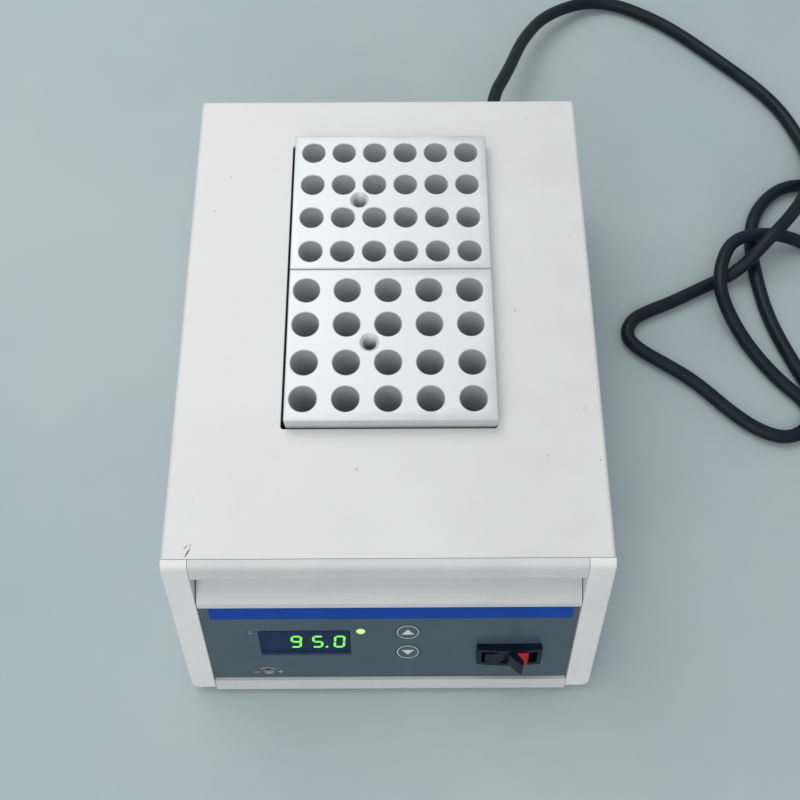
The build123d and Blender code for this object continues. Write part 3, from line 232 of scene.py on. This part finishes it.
# Stage, in metres: reach of the table each way, lamps as place, side, power and aim, and the world
TABLE_REACH = 3.0
LAMPS = {
    "key_lamp": ((-0.45, 0.75, 1.4), 1.1, 12.5, (0, 0.1, 0)),
    "fill_lamp": ((-0.35, -1.1, 1.2), 1.4, 9.5, (0, 0, 0)),
}
WORLD_COLOUR = (0.93, 0.97, 1.0, 1)
WORLD_STRENGTH = 0.52

# What all materials share: where the noise turns from one tone or roughness to the other, and the bump
TONE_STOPS = (0.35, 0.65)
SHEEN_STOPS = (0.3, 0.7)
MOTTLE_DETAIL = 6
MOTTLE_ROUGHNESS = 0.6
GRAIN_DETAIL = 3
BUMP_STRENGTH = 0.6
EDGE_RADIUS = 0.25
EDGE_SAMPLES = 4

# Materials: two tones, size of the mottle, roughness from and to, size and depth of the grain, and for
# some also metallic and specular; sizes in millimetres
FINISHES = {
    "cover_paint": (((0.63, 0.625, 0.61), (0.675, 0.67, 0.655)), 60, (0.36, 0.46), 0.9, 0.02),
    "moulding_paint": (((0.58, 0.58, 0.575), (0.63, 0.63, 0.62)), 35, (0.34, 0.44), 0.8, 0.02),
    # Cheeks: a lighter copy of the moulding paint they are made of, painted light standing in for the light
    # that falls on them
    "cheek_paint_painted_light": (((0.72, 0.72, 0.705), (0.78, 0.78, 0.765)), 35, (0.34, 0.44), 0.8, 0.02),
    "overlay_film": (((0.052, 0.085, 0.105), (0.062, 0.098, 0.12)), 22, (0.28, 0.36), 0.35, 0.006),
    "smoked_pane": (((0.0, 0.022, 0.1), (0.0, 0.029, 0.125)), 9, (0.06, 0.12), 3, 0.002),
    "display_black": (((0.006, 0.007, 0.007), (0.012, 0.013, 0.013)), 3, (0.5, 0.6), 0.3, 0.01),
    "lit_green": (((0.16, 0.7, 0.06), (0.24, 0.85, 0.1)), 2, (0.3, 0.4), 0.5, 0.01),
    "lamp_off": (((0.10, 0.13, 0.11), (0.16, 0.19, 0.16)), 1.5, (0.25, 0.35), 0.4, 0.01),
    "key_film": (((0.055, 0.09, 0.11), (0.065, 0.1, 0.122)), 4, (0.34, 0.42), 0.35, 0.008),
    "switch_black": (((0.001, 0.006, 0.016), (0.003, 0.01, 0.024)), 5, (0.26, 0.4), 0.3, 0.012, 0.0, 0.22),
    "switch_red": (((0.62, 0.02, 0.03), (0.72, 0.04, 0.045)), 3, (0.25, 0.38), 0.4, 0.01),
    "circuit_board": (((0.01, 0.11, 0.045), (0.02, 0.16, 0.07)), 3, (0.35, 0.5), 0.6, 0.03),
    "component_black": (((0.014, 0.014, 0.016), (0.024, 0.024, 0.026)), 2, (0.45, 0.6), 0.3, 0.02),
    "trimmer_blue": (((0.02, 0.08, 0.42), (0.03, 0.11, 0.5)), 2, (0.3, 0.4), 0.4, 0.01),
    "cast_aluminium": (((0.42, 0.43, 0.44), (0.52, 0.53, 0.54)), 6, (0.42, 0.55), 0.5, 0.05, 1.0),
    "bare_aluminium": (((0.55, 0.56, 0.57), (0.64, 0.65, 0.66)), 5, (0.3, 0.42), 0.3, 0.02, 1.0),
    "heater_mat": (((0.36, 0.13, 0.04), (0.45, 0.18, 0.06)), 4, (0.4, 0.55), 0.6, 0.03),
    "zinc_sheet": (((0.42, 0.43, 0.44), (0.56, 0.57, 0.57)), 9, (0.3, 0.45), 0.5, 0.015, 1.0),
    "plated_screw": (((0.38, 0.39, 0.4), (0.5, 0.5, 0.5)), 1.2, (0.25, 0.4), 0.2, 0.02, 1.0),
    "varnished_core": (((0.05, 0.045, 0.04), (0.1, 0.09, 0.08)), 3, (0.35, 0.5), 0.35, 0.05, 0.6),
    "plated_brass": (((0.62, 0.44, 0.14), (0.74, 0.55, 0.22)), 3, (0.2, 0.34), 0.3, 0.01, 1.0),
    "white_ceramic": (((0.68, 0.66, 0.58), (0.76, 0.74, 0.67)), 3, (0.4, 0.5), 0.4, 0.03),
    "fibre_felt": (((0.5, 0.44, 0.3), (0.68, 0.62, 0.46)), 2.5, (0.85, 0.95), 0.5, 0.3),
    "terminal_green": (((0.02, 0.2, 0.08), (0.03, 0.26, 0.11)), 3, (0.35, 0.45), 0.5, 0.02),
    "fuse_glass": (((0.45, 0.5, 0.5), (0.6, 0.65, 0.65)), 3, (0.08, 0.15), 0.5, 0.01),
    "foot_rubber": (((0.012, 0.012, 0.012), (0.022, 0.022, 0.022)), 4, (0.6, 0.75), 0.5, 0.04),
    "plug_rubber": (((0.008, 0.009, 0.011), (0.016, 0.017, 0.02)), 6, (0.42, 0.55), 0.5, 0.03),
    "cord_jacket": (((0.001, 0.007, 0.014), (0.004, 0.013, 0.024)), 14, (0.36, 0.5), 0.6, 0.03, 0.0, 0.22),
    "white_ink": (((0.6, 0.62, 0.62), (0.72, 0.74, 0.74)), 3, (0.4, 0.5), 0.3, 0.004),
    "blue_ink": (((0.0, 0.045, 0.31), (0.0, 0.056, 0.36)), 25, (0.36, 0.44), 0.35, 0.004, 0.0, 0.2),
    "block_metal": (((0.58, 0.61, 0.615), (0.645, 0.67, 0.673)), 18, (0.42, 0.52), 0.35, 0.012, 0.35),
    "segment_off": (((0.02, 0.026, 0.022), (0.03, 0.036, 0.03)), 2, (0.4, 0.5), 0.3, 0.01),
    "scuff": (((0.10, 0.09, 0.08), (0.26, 0.24, 0.22)), 0.8, (0.6, 0.8), 0.4, 0.02),
    "table_top": (((0.33, 0.40, 0.425), (0.39, 0.46, 0.48)), 320, (0.45, 0.6), 0.6, 0.01),
}

# Specks in the paints: colour, size, and the noise above which they show
SPECK_DETAIL = 1
SPECK_FADE = 0.03
SPECKS = {
    "cover_paint": ((0.22, 0.20, 0.18), 2.2, 0.80),
    "moulding_paint": ((0.24, 0.22, 0.2), 1.8, 0.80),
    "cheek_paint_painted_light": ((0.24, 0.22, 0.2), 1.8, 0.78),
}

# Pane that shows the digits behind it, and the glow of what is lit
PANE_ALPHA = 0.45
GLOW_COLOUR = (0.24, 1.0, 0.08, 1)
GLOW_STRENGTH = 3.5

# CAD nodes by their material
DRESSED = {
    "cover_paint": ["top_cover"],
    # the cheeks take the lighter copy of the moulding paint, as painted light
    "cheek_paint_painted_light": ["left_cheek", "right_cheek"],
    "moulding_paint": ["front_lip", "panel_frame"],
    "overlay_film": ["panel_overlay"],
    "smoked_pane": ["display_window"],
    "display_black": ["display_digits"],
    "lit_green": ["setpoint_led"],
    "lamp_off": ["actual_led"],
    "key_film": ["up_key", "down_key"],
    "switch_black": ["rocker_housing", "rocker_paddle"],
    "switch_red": ["rocker_flag"],
    "circuit_board": ["display_board", "power_board"],
    "component_black": ["tact_switches", "thermal_cutoff", "triac"],
    "trimmer_blue": ["calibration_trimmer"],
    "cast_aluminium": ["block_well"],
    "bare_aluminium": ["heater_clamp", "heat_sink"],
    "heater_mat": ["heater_plate"],
    "zinc_sheet": ["base_pan", "temperature_sensor", "heat_shield"],
    "plated_screw": ["clamp_screws", "foot_screws", "cover_screws", "front_screws", "board_screws"],
    "varnished_core": ["transformer"],
    "plated_brass": ["board_standoffs", "rocker_terminals", "power_board_posts", "plug_pins"],
    "white_ceramic": ["trimmer_rotor", "chamber_spacers"],
    "fibre_felt": ["well_insulation", "insulation_pad"],
    "terminal_green": ["terminal_block"],
    "fuse_glass": ["fuse"],
    "foot_rubber": ["rubber_feet"],
    "plug_rubber": ["mains_plug", "strain_relief"],
}


def point(x, y, z):
    """Point in metres from millimetres."""
    return Vector((x, y, z)) * MM


def front_point(across, down, out):
    """Point of the slanted front, from millimetres across, down the slope and out of it."""
    return FRONT_CORNER + point(
        across, -down * sin(LEAN) - out * cos(LEAN), -down * cos(LEAN) + out * sin(LEAN)
    )


def smooth(value):
    """Smooth step from 0 to 1."""
    value = min(1.0, max(0.0, value))
    return value * value * (3 - 2 * value)


def band(form, first, second):
    """Faces between two closed rings of as many vertices."""
    for i in range(len(first)):
        k = (i + 1) % len(first)
        form.faces.new((first[i], first[k], second[k], second[i]))


def take_mesh(name, form):
    """Mesh of a form, which is freed."""
    mesh = bpy.data.meshes.new(name)
    form.to_mesh(mesh)
    form.free()
    return mesh


def place_object(name, data):
    """Object in the scene for a mesh, curve, lamp or camera."""
    item = bpy.data.objects.new(name, data)
    bpy.context.scene.collection.objects.link(item)
    return item


def make_piece(name, mesh, body, material):
    """Object for a mesh, smooth where its faces meet flatly, riding on a CAD body."""
    piece = place_object(name, mesh)
    mesh.shade_smooth()
    mesh.set_sharp_from_angle(angle=SHARP_ANGLE)
    mesh.materials.append(material)
    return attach(piece, body)


def make_camera():
    """Camera at the photograph's place."""
    data = bpy.data.cameras.new("camera")
    data.lens = LENS
    data.sensor_width = SENSOR_WIDTH
    camera = place_object("camera", data)
    camera.location = CAMERA_PLACE
    camera.rotation_euler = (CAMERA_PITCH, 0, CAMERA_YAW)
    bpy.context.scene.camera = camera


def add_noise(tree, size, detail):
    """Noise over an object's own coordinates, with marks of about a size in millimetres."""
    place = tree.nodes.new("ShaderNodeTexCoord")
    noise = tree.nodes.new("ShaderNodeTexNoise")
    noise.inputs["Scale"].default_value = 1 / (size * MM)
    noise.inputs["Detail"].default_value = detail
    tree.links.new(place.outputs["Object"], noise.inputs["Vector"])
    return noise


def add_range(tree, noise, before, after=(0.0, 1.0)):
    """Output of a noise moved from one range to another and held at its ends."""
    change = tree.nodes.new("ShaderNodeMapRange")
    for name, ends in (("From", before), ("To", after)):
        change.inputs[name + " Min"].default_value = ends[0]
        change.inputs[name + " Max"].default_value = ends[1]
    tree.links.new(noise.outputs["Fac"], change.inputs["Value"])
    return change.outputs["Result"]


def make_material(name, colours, mottle, roughness, grain, depth, metallic=0.0, gloss=0.5):
    """Mottled surface with fine grain and softened edges, from a row of FINISHES."""
    material = bpy.data.materials.new(name)
    material.use_nodes = True
    tree = material.node_tree
    shader = tree.nodes["Principled BSDF"]
    shader.inputs["Metallic"].default_value = metallic
    shader.inputs["Specular IOR Level"].default_value = gloss
    patches = add_noise(tree, mottle, MOTTLE_DETAIL)
    patches.inputs["Roughness"].default_value = MOTTLE_ROUGHNESS
    tones = tree.nodes.new("ShaderNodeValToRGB")
    for stop, position, colour in zip(tones.color_ramp.elements, TONE_STOPS, colours):
        stop.position = position
        stop.color = (*colour, 1)
    tree.links.new(patches.outputs["Fac"], tones.inputs["Fac"])
    tree.links.new(tones.outputs["Color"], shader.inputs["Base Color"])
    tree.links.new(add_range(tree, patches, SHEEN_STOPS, roughness), shader.inputs["Roughness"])
    fine = add_noise(tree, grain, GRAIN_DETAIL)
    edges = tree.nodes.new("ShaderNodeBevel")
    edges.samples = EDGE_SAMPLES
    edges.inputs["Radius"].default_value = EDGE_RADIUS * MM
    bump = tree.nodes.new("ShaderNodeBump")
    bump.inputs["Strength"].default_value = BUMP_STRENGTH
    bump.inputs["Distance"].default_value = depth * MM
    tree.links.new(fine.outputs["Fac"], bump.inputs["Height"])
    tree.links.new(edges.outputs["Normal"], bump.inputs["Normal"])
    tree.links.new(bump.outputs["Normal"], shader.inputs["Normal"])
    return material


def add_specks(material, colour, size, share):
    """Sparse small marks of another colour over a material's base colour."""
    tree = material.node_tree
    base = tree.nodes["Principled BSDF"].inputs["Base Color"]
    tones = base.links[0].from_socket
    dots = add_noise(tree, size, SPECK_DETAIL)
    mix = tree.nodes.new("ShaderNodeMix")
    mix.data_type = "RGBA"
    mix.inputs["B"].default_value = (*colour, 1)
    tree.links.new(add_range(tree, dots, (share, share + SPECK_FADE)), mix.inputs["Factor"])
    tree.links.new(tones, mix.inputs["A"])
    tree.links.new(mix.outputs["Result"], base)


def make_materials():
    """Every material by its name, with specks in the paints, a clear pane and a glow in what is lit."""
    made = {name: make_material(name, *values) for name, values in FINISHES.items()}
    for name, values in SPECKS.items():
        add_specks(made[name], *values)
    pane = made["smoked_pane"].node_tree.nodes["Principled BSDF"]
    pane.inputs["Alpha"].default_value = PANE_ALPHA
    lit = made["lit_green"].node_tree.nodes["Principled BSDF"]
    lit.inputs["Emission Color"].default_value = GLOW_COLOUR
    lit.inputs["Emission Strength"].default_value = GLOW_STRENGTH
    return made


def dress_nodes(materials):
    """Materials of the CAD nodes that stay as they are."""
    for name, members in DRESSED.items():
        for node in members:
            nodes[node].data.materials.clear()
            nodes[node].data.materials.append(materials[name])


def flat_piece(name, outlines, out, thickness, body, material):
    """Thin plates on the slanted front; an outline is a list of (across, down), or two lists for a ring."""
    form = bmesh.new()
    for outline in outlines:
        outer, *holes = outline if isinstance(outline[0], list) else [outline]
        foot = [form.verts.new(front_point(*place, out)) for place in outer]
        face = [form.verts.new(front_point(*place, out + thickness)) for place in outer]
        band(form, foot, face)
        if holes:
            inner = [form.verts.new(front_point(*place, out + thickness)) for place in holes[0]]
            band(form, face, inner)
        else:
            form.faces.new(face)
    bmesh.ops.recalc_face_normals(form, faces=form.faces)
    return make_piece(name, take_mesh(name, form), body, material)


def rectangle(left, right, top, bottom):
    """Outline of a rectangle on the slanted front."""
    return [(left, top), (left, bottom), (right, bottom), (right, top)]


def circle(centre, radius, sides):
    """Outline of a circle on the slanted front."""
    turns = [2 * pi * i / sides for i in range(sides)]
    return [(centre[0] + radius * cos(turn), centre[1] - radius * sin(turn)) for turn in turns]


def bar_outlines(middle, names):
    """Outlines of some of a digit's bars, with pointed ends and slanted to the right."""
    half_bar = BAR_WIDTH / 2
    x, y = DIGIT_SIZE[0] / 2 - half_bar, DIGIT_SIZE[1] / 2 - half_bar
    ends = {
        "a": ((-x, -y), (x, -y)),
        "g": ((-x, 0), (x, 0)),
        "d": ((-x, y), (x, y)),
        "f": ((-x, -y), (-x, 0)),
        "b": ((x, -y), (x, 0)),
        "e": ((-x, 0), (-x, y)),
        "c": ((x, 0), (x, y)),
    }
    outlines = []
    for name in names:
        start, end = (Vector(place) for place in ends[name])
        along = (end - start).normalized()
        side = Vector((-along.y, along.x)) * half_bar
        first, last = start + along * BAR_GAP, end - along * BAR_GAP
        corners = [first, first + along * half_bar + side, last - along * half_bar + side]
        corners += [last, last - along * half_bar - side, first + along * half_bar - side]
        outlines.append([(middle[0] + p.x - DIGIT_SLANT * p.y, middle[1] + p.y) for p in corners])
    return outlines


def make_digits(lit, unlit):
    """Seven-segment digits behind the pane, with their unlit bars and points."""
    shown, dark = [], []
    for across, digit, dotted in DIGITS:
        middle = (across, DIGIT_MIDDLE)
        bars = SHOWN_BARS[digit]
        shown += bar_outlines(middle, bars)
        dark += bar_outlines(middle, [name for name in ALL_BARS if name not in bars])
        dot_place = (across + POINT_SHIFT[0], DIGIT_MIDDLE + DIGIT_SIZE[1] / 2 + POINT_SHIFT[1])
        (shown if dotted else dark).append(circle(dot_place, POINT_RADIUS, POINT_SIDES))
    flat_piece("digit_segments_lit", shown, DIGIT_OUT, LIT_THICKNESS, "root", lit)
    flat_piece("digit_segments_unlit", dark, DIGIT_OUT, UNLIT_THICKNESS, "root", unlit)


def make_stripe(blue):
    """Stripe along the top of the overlay."""
    flat_piece("panel_stripe", [rectangle(*STRIPE)], OVERLAY_OUT, INK, "root", blue)


def make_key_marks(white):
    """Ring and arrow on each key."""
    for key, (across, down, direction) in KEYS.items():
        ring = [circle((across, down), radius, ROUND_SIDES) for radius in RING_RADII]
        base = down + direction * ARROW_BASE
        arrow = [
            (across, down - direction * ARROW_TIP),
            (across - ARROW_HALF_WIDTH, base),
            (across + ARROW_HALF_WIDTH, base),
        ]
        flat_piece(key + "_mark", [ring, arrow], KEY_OUT, INK, KEY_BODIES[key], white)


def make_calibration_marks(white):
    """Minus, plus and arc round the calibration hole."""
    across, down = TRIMMER_PLACE
    minus = across + MINUS_SHIFT
    plus, level = across + PLUS_SHIFT[0], down + PLUS_SHIFT[1]
    reach, half = SIGN_REACH, SIGN_HALF_LINE
    marks = [
        rectangle(minus - reach, minus + reach, down - half, down + half),
        rectangle(plus - reach, plus + reach, level - half, level + half),
        rectangle(plus - half, plus + half, level - reach, level + reach),
    ]
    outer, inner = ARC_RADII
    for i in range(ARC_PIECES):
        turn = radians(ARC_START + ARC_SPAN * i / ARC_PIECES)
        following = turn + radians(ARC_SPAN / ARC_PIECES)
        arc = [(turn, outer), (following, outer), (following, inner), (turn, inner)]
        marks.append([(across + r * cos(a), down - ARC_SQUASH * r * sin(a)) for a, r in arc])
    flat_piece("calibration_marks", marks, OVERLAY_OUT, INK, "root", white)


def lathe(form, centre, top, profile):
    """Closed surface of revolution about an upright axis; profile is (radius, depth) from the top down."""
    turns = [2 * pi * i / ROUND_SIDES for i in range(ROUND_SIDES)]
    rings = []
    for radius, depth in profile:
        rings.append([
            form.verts.new(point(centre[0] + radius * cos(a), centre[1] + radius * sin(a), top - depth))
            for a in turns
        ])
    for upper, lower in zip(rings, rings[1:]):
        band(form, upper, lower)
    form.faces.new(rings[0])
    form.faces.new(rings[-1])


def mouth(radius, edge):
    """First part of a hole's profile: from above the face, then a chamfer."""
    return [(radius + edge, -CUT_ABOVE), (radius + edge, 0.0), (radius, edge)]


def well_profile(radius, depth):
    """Profile of a well: its rim, its wall and its rounded foot."""
    return mouth(radius, RIM) + [(radius - inward, depth - up) for inward, up in WELL_FOOT]


def lift_profile():
    """Profile of the lifting hole: a countersink, a groove for each turn of its thread, the drill's tip."""
    profile = mouth(LIFT_RADIUS, COUNTERSINK)
    for i in range(int((LIFT_DEPTH - THREAD_END) / THREAD_PITCH)):
        profile.append((LIFT_RADIUS - THREAD_HEIGHT, COUNTERSINK + (i + 0.5) * THREAD_PITCH))
        profile.append((LIFT_RADIUS, COUNTERSINK + (i + 1) * THREAD_PITCH))
    profile.append((LIFT_RADIUS - THREAD_HEIGHT, LIFT_DEPTH - BORE_END))
    profile.append((DRILL_TIP[0], LIFT_DEPTH + DRILL_TIP[1]))
    return profile


def make_block(node, body, wells, well_size, lift_place, material):
    """Heating block with rimmed wells and its tapped lifting hole, in place of the plain CAD block."""
    name = node + "_finished"
    low, high = (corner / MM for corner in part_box(node))
    form = bmesh.new()
    bmesh.ops.create_cube(form, size=1.0)
    for vertex in form.verts:
        vertex.co = point(*(low[i] + (vertex.co[i] + 0.5) * (high[i] - low[i]) for i in range(3)))
    bmesh.ops.bevel(
        form, geom=form.edges[:], offset=BLOCK_EDGE * MM, segments=3, profile=0.5, affect="EDGES"
    )
    block = place_object(name, take_mesh(name, form))
    form = bmesh.new()
    for place in wells:
        lathe(form, place, high[2], well_profile(*well_size))
    lathe(form, lift_place, high[2], lift_profile())
    bmesh.ops.recalc_face_normals(form, faces=form.faces)
    holes = place_object("wells", take_mesh("wells", form))
    cut = block.modifiers.new("wells", "BOOLEAN")
    cut.object = holes
    cut.solver = "EXACT"
    finished = bpy.data.meshes.new_from_object(block.evaluated_get(bpy.context.evaluated_depsgraph_get()))
    bpy.data.objects.remove(block)
    bpy.data.objects.remove(holes)
    piece = make_piece(name, finished, body, material)
    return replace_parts(piece, node)


def box_middle(node):
    """Middle of a CAD node's box, in millimetres."""
    low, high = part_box(node)
    return (low + high) / 2 / MM


def make_blocks(material):
    """Both heating blocks, with their wells in rows from the back."""
    rear = box_middle("rear_heating_block")
    columns, rows = REAR_COUNT
    wells = [
        (
            rear.x + (i - (columns - 1) / 2) * REAR_PITCH[0] + REAR_SHIFT[0],
            rear.y + ((rows - 1) / 2 - j) * REAR_PITCH[1] + REAR_SHIFT[1],
        )
        for j in range(rows)
        for i in range(columns)
    ]
    lift_place = (rear.x - REAR_LIFT_SHIFT, rear.y)
    make_block("rear_heating_block", "rear_block", wells, REAR_WELL, lift_place, material)
    front = box_middle("front_heating_block")
    wells = [
        (front.x + (i - (FRONT_COLUMNS - 1) / 2) * FRONT_PITCH + FRONT_SHIFT, front.y + row)
        for row in FRONT_ROWS
        for i in range(FRONT_COLUMNS)
    ]
    lift_place = (front.x - FRONT_LIFT_SHIFT, front.y)
    make_block("front_heating_block", "front_block", wells, FRONT_WELL, lift_place, material)


def coil_points():
    """Control points of the coil: a turn on the table, one inside it, then half a turn on top."""
    outer, inner, upper = COIL_RADII
    low, high = COIL_HEIGHTS
    points = []
    for i in range(int(COIL_TURNS * COIL_STEPS) + 1):
        turns = i / COIL_STEPS
        inward, outward, climb = (smooth((turns - start) / span) for start, span in COIL_CHANGES)
        radius = outer + (inner - outer) * inward + (upper - inner) * outward
        angle = pi + 2 * pi * turns
        points.append((
            COIL_CENTRE[0] + radius * cos(angle),
            COIL_CENTRE[1] + radius * sin(angle),
            low + (high - low) * climb,
        ))
    return points


def make_cord(material):
    """The whole mains lead as one smooth line: the run on the table, the coil and the tail."""
    points = CORD_ROUTE + coil_points() + TAIL_ROUTE
    curve = bpy.data.curves.new("mains_lead", "CURVE")
    curve.dimensions = "3D"
    curve.bevel_depth = CORD_RADIUS * MM
    curve.bevel_resolution = 7
    curve.resolution_u = 10
    curve.use_fill_caps = True
    line = curve.splines.new("NURBS")
    line.points.add(len(points) - 1)
    for control, place in zip(line.points, points):
        control.co = (*point(*place), 1)
    line.order_u = 3
    line.use_endpoint_u = True
    curve.materials.append(material)
    lead = place_object("mains_lead", curve)
    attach(lead, "root")
    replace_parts(lead, "power_cord", "cord_coil", "cord_tail")
    return lead


def make_tie(material):
    """Strap round the coil's bundle, a rounded square that lies flat on the table."""
    form = bmesh.new()
    rings = []
    for i in range(TIE_SIDES):
        turn = 2 * pi * i / TIE_SIDES
        spread = abs(cos(turn)) ** TIE_SQUARENESS + abs(sin(turn)) ** TIE_SQUARENESS
        stretch = spread ** (-1 / TIE_SQUARENESS)
        radial = TIE_MIDDLE[0] + TIE_HALF_SIZE[0] * stretch * cos(turn)
        height = TIE_MIDDLE[1] + TIE_HALF_SIZE[1] * stretch * sin(turn)
        ring = []
        for out, side in ((0, -1), (0, 1), (TIE_THICKNESS, 1), (TIE_THICKNESS, -1)):
            place = point(
                COIL_CENTRE[0] + side * TIE_WIDTH / 2,
                COIL_CENTRE[1] + radial + out * cos(turn),
                max(TIE_LOWEST, height + out * sin(turn)),
            )
            ring.append(form.verts.new(place))
        rings.append(ring)
    for here, following in zip(rings, rings[1:] + rings[:1]):
        band(form, here, following)
    bmesh.ops.recalc_face_normals(form, faces=form.faces)
    return make_piece("coil_tie", take_mesh("coil_tie", form), "root", material)


def make_scuffs(material):
    """Small dark scuffs in the cover's paint, most of them at the left end of the seam."""
    form = bmesh.new()
    for across, along, length, width, turn in SCUFFS:
        direction = Vector((cos(radians(turn)), sin(radians(turn)), 0))
        side = Vector((-direction.y, direction.x, 0))
        middle = Vector((across, along, 0))
        corners = [middle - direction * length / 2, middle - side * width / 2]
        corners += [middle + direction * length / 2, middle + side * width / 2]
        form.faces.new([form.verts.new(point(p.x, p.y, CASING_TOP + SCUFF_OUT)) for p in corners])
    return make_piece("paint_scuffs", take_mesh("paint_scuffs", form), "root", material)


def make_recess_shade(material):
    """Black crosses on the heads of the cover's rear screws, painted shade standing for their cross
    recesses.
    """
    form = bmesh.new()
    for across in REAR_SCREWS:
        for turn in (0, pi / 2):
            for vertex in bmesh.ops.create_cube(form, size=1.0)["verts"]:
                x, y, z = (vertex.co[i] * RECESS_SHADE_BAR[i] for i in range(3))
                vertex.co = point(
                    across + x * cos(turn) - z * sin(turn),
                    REAR_HEAD_Y + y,
                    REAR_SCREW_Z + x * sin(turn) + z * cos(turn),
                )
    return make_piece("screw_recess_shade", take_mesh("screw_recess_shade", form), "root", material)


def make_stage(material):
    """Plain table, soft lamps and a pale world."""
    form = bmesh.new()
    bmesh.ops.create_grid(form, x_segments=1, y_segments=1, size=TABLE_REACH)
    table = place_object("table", take_mesh("table", form))
    table.data.materials.append(material)
    for name, (place, size, power, aim) in LAMPS.items():
        data = bpy.data.lights.new(name, "AREA")
        data.size = size
        data.energy = power
        lamp = place_object(name, data)
        lamp.location = place
        lamp.rotation_euler = (Vector(aim) - Vector(place)).to_track_quat("-Z", "Y").to_euler()
    world = bpy.data.worlds.new("room")
    world.use_nodes = True
    background = world.node_tree.nodes["Background"]
    background.inputs["Color"].default_value = WORLD_COLOUR
    background.inputs["Strength"].default_value = WORLD_STRENGTH
    bpy.context.scene.world = world
    bpy.context.scene.view_settings.view_transform = "Standard"


make_camera()
materials = make_materials()
dress_nodes(materials)
lead = make_cord(materials["cord_jacket"])
tie = make_tie(materials["foot_rubber"])
make_blocks(materials["block_metal"])
make_digits(materials["lit_green"], materials["segment_off"])
make_stripe(materials["blue_ink"])
make_key_marks(materials["white_ink"])
make_calibration_marks(materials["white_ink"])
make_scuffs(materials["scuff"])
# black bars painted as the shade in the rear screws' cross recesses
make_recess_shade(materials["component_black"])
make_stage(materials["table_top"])
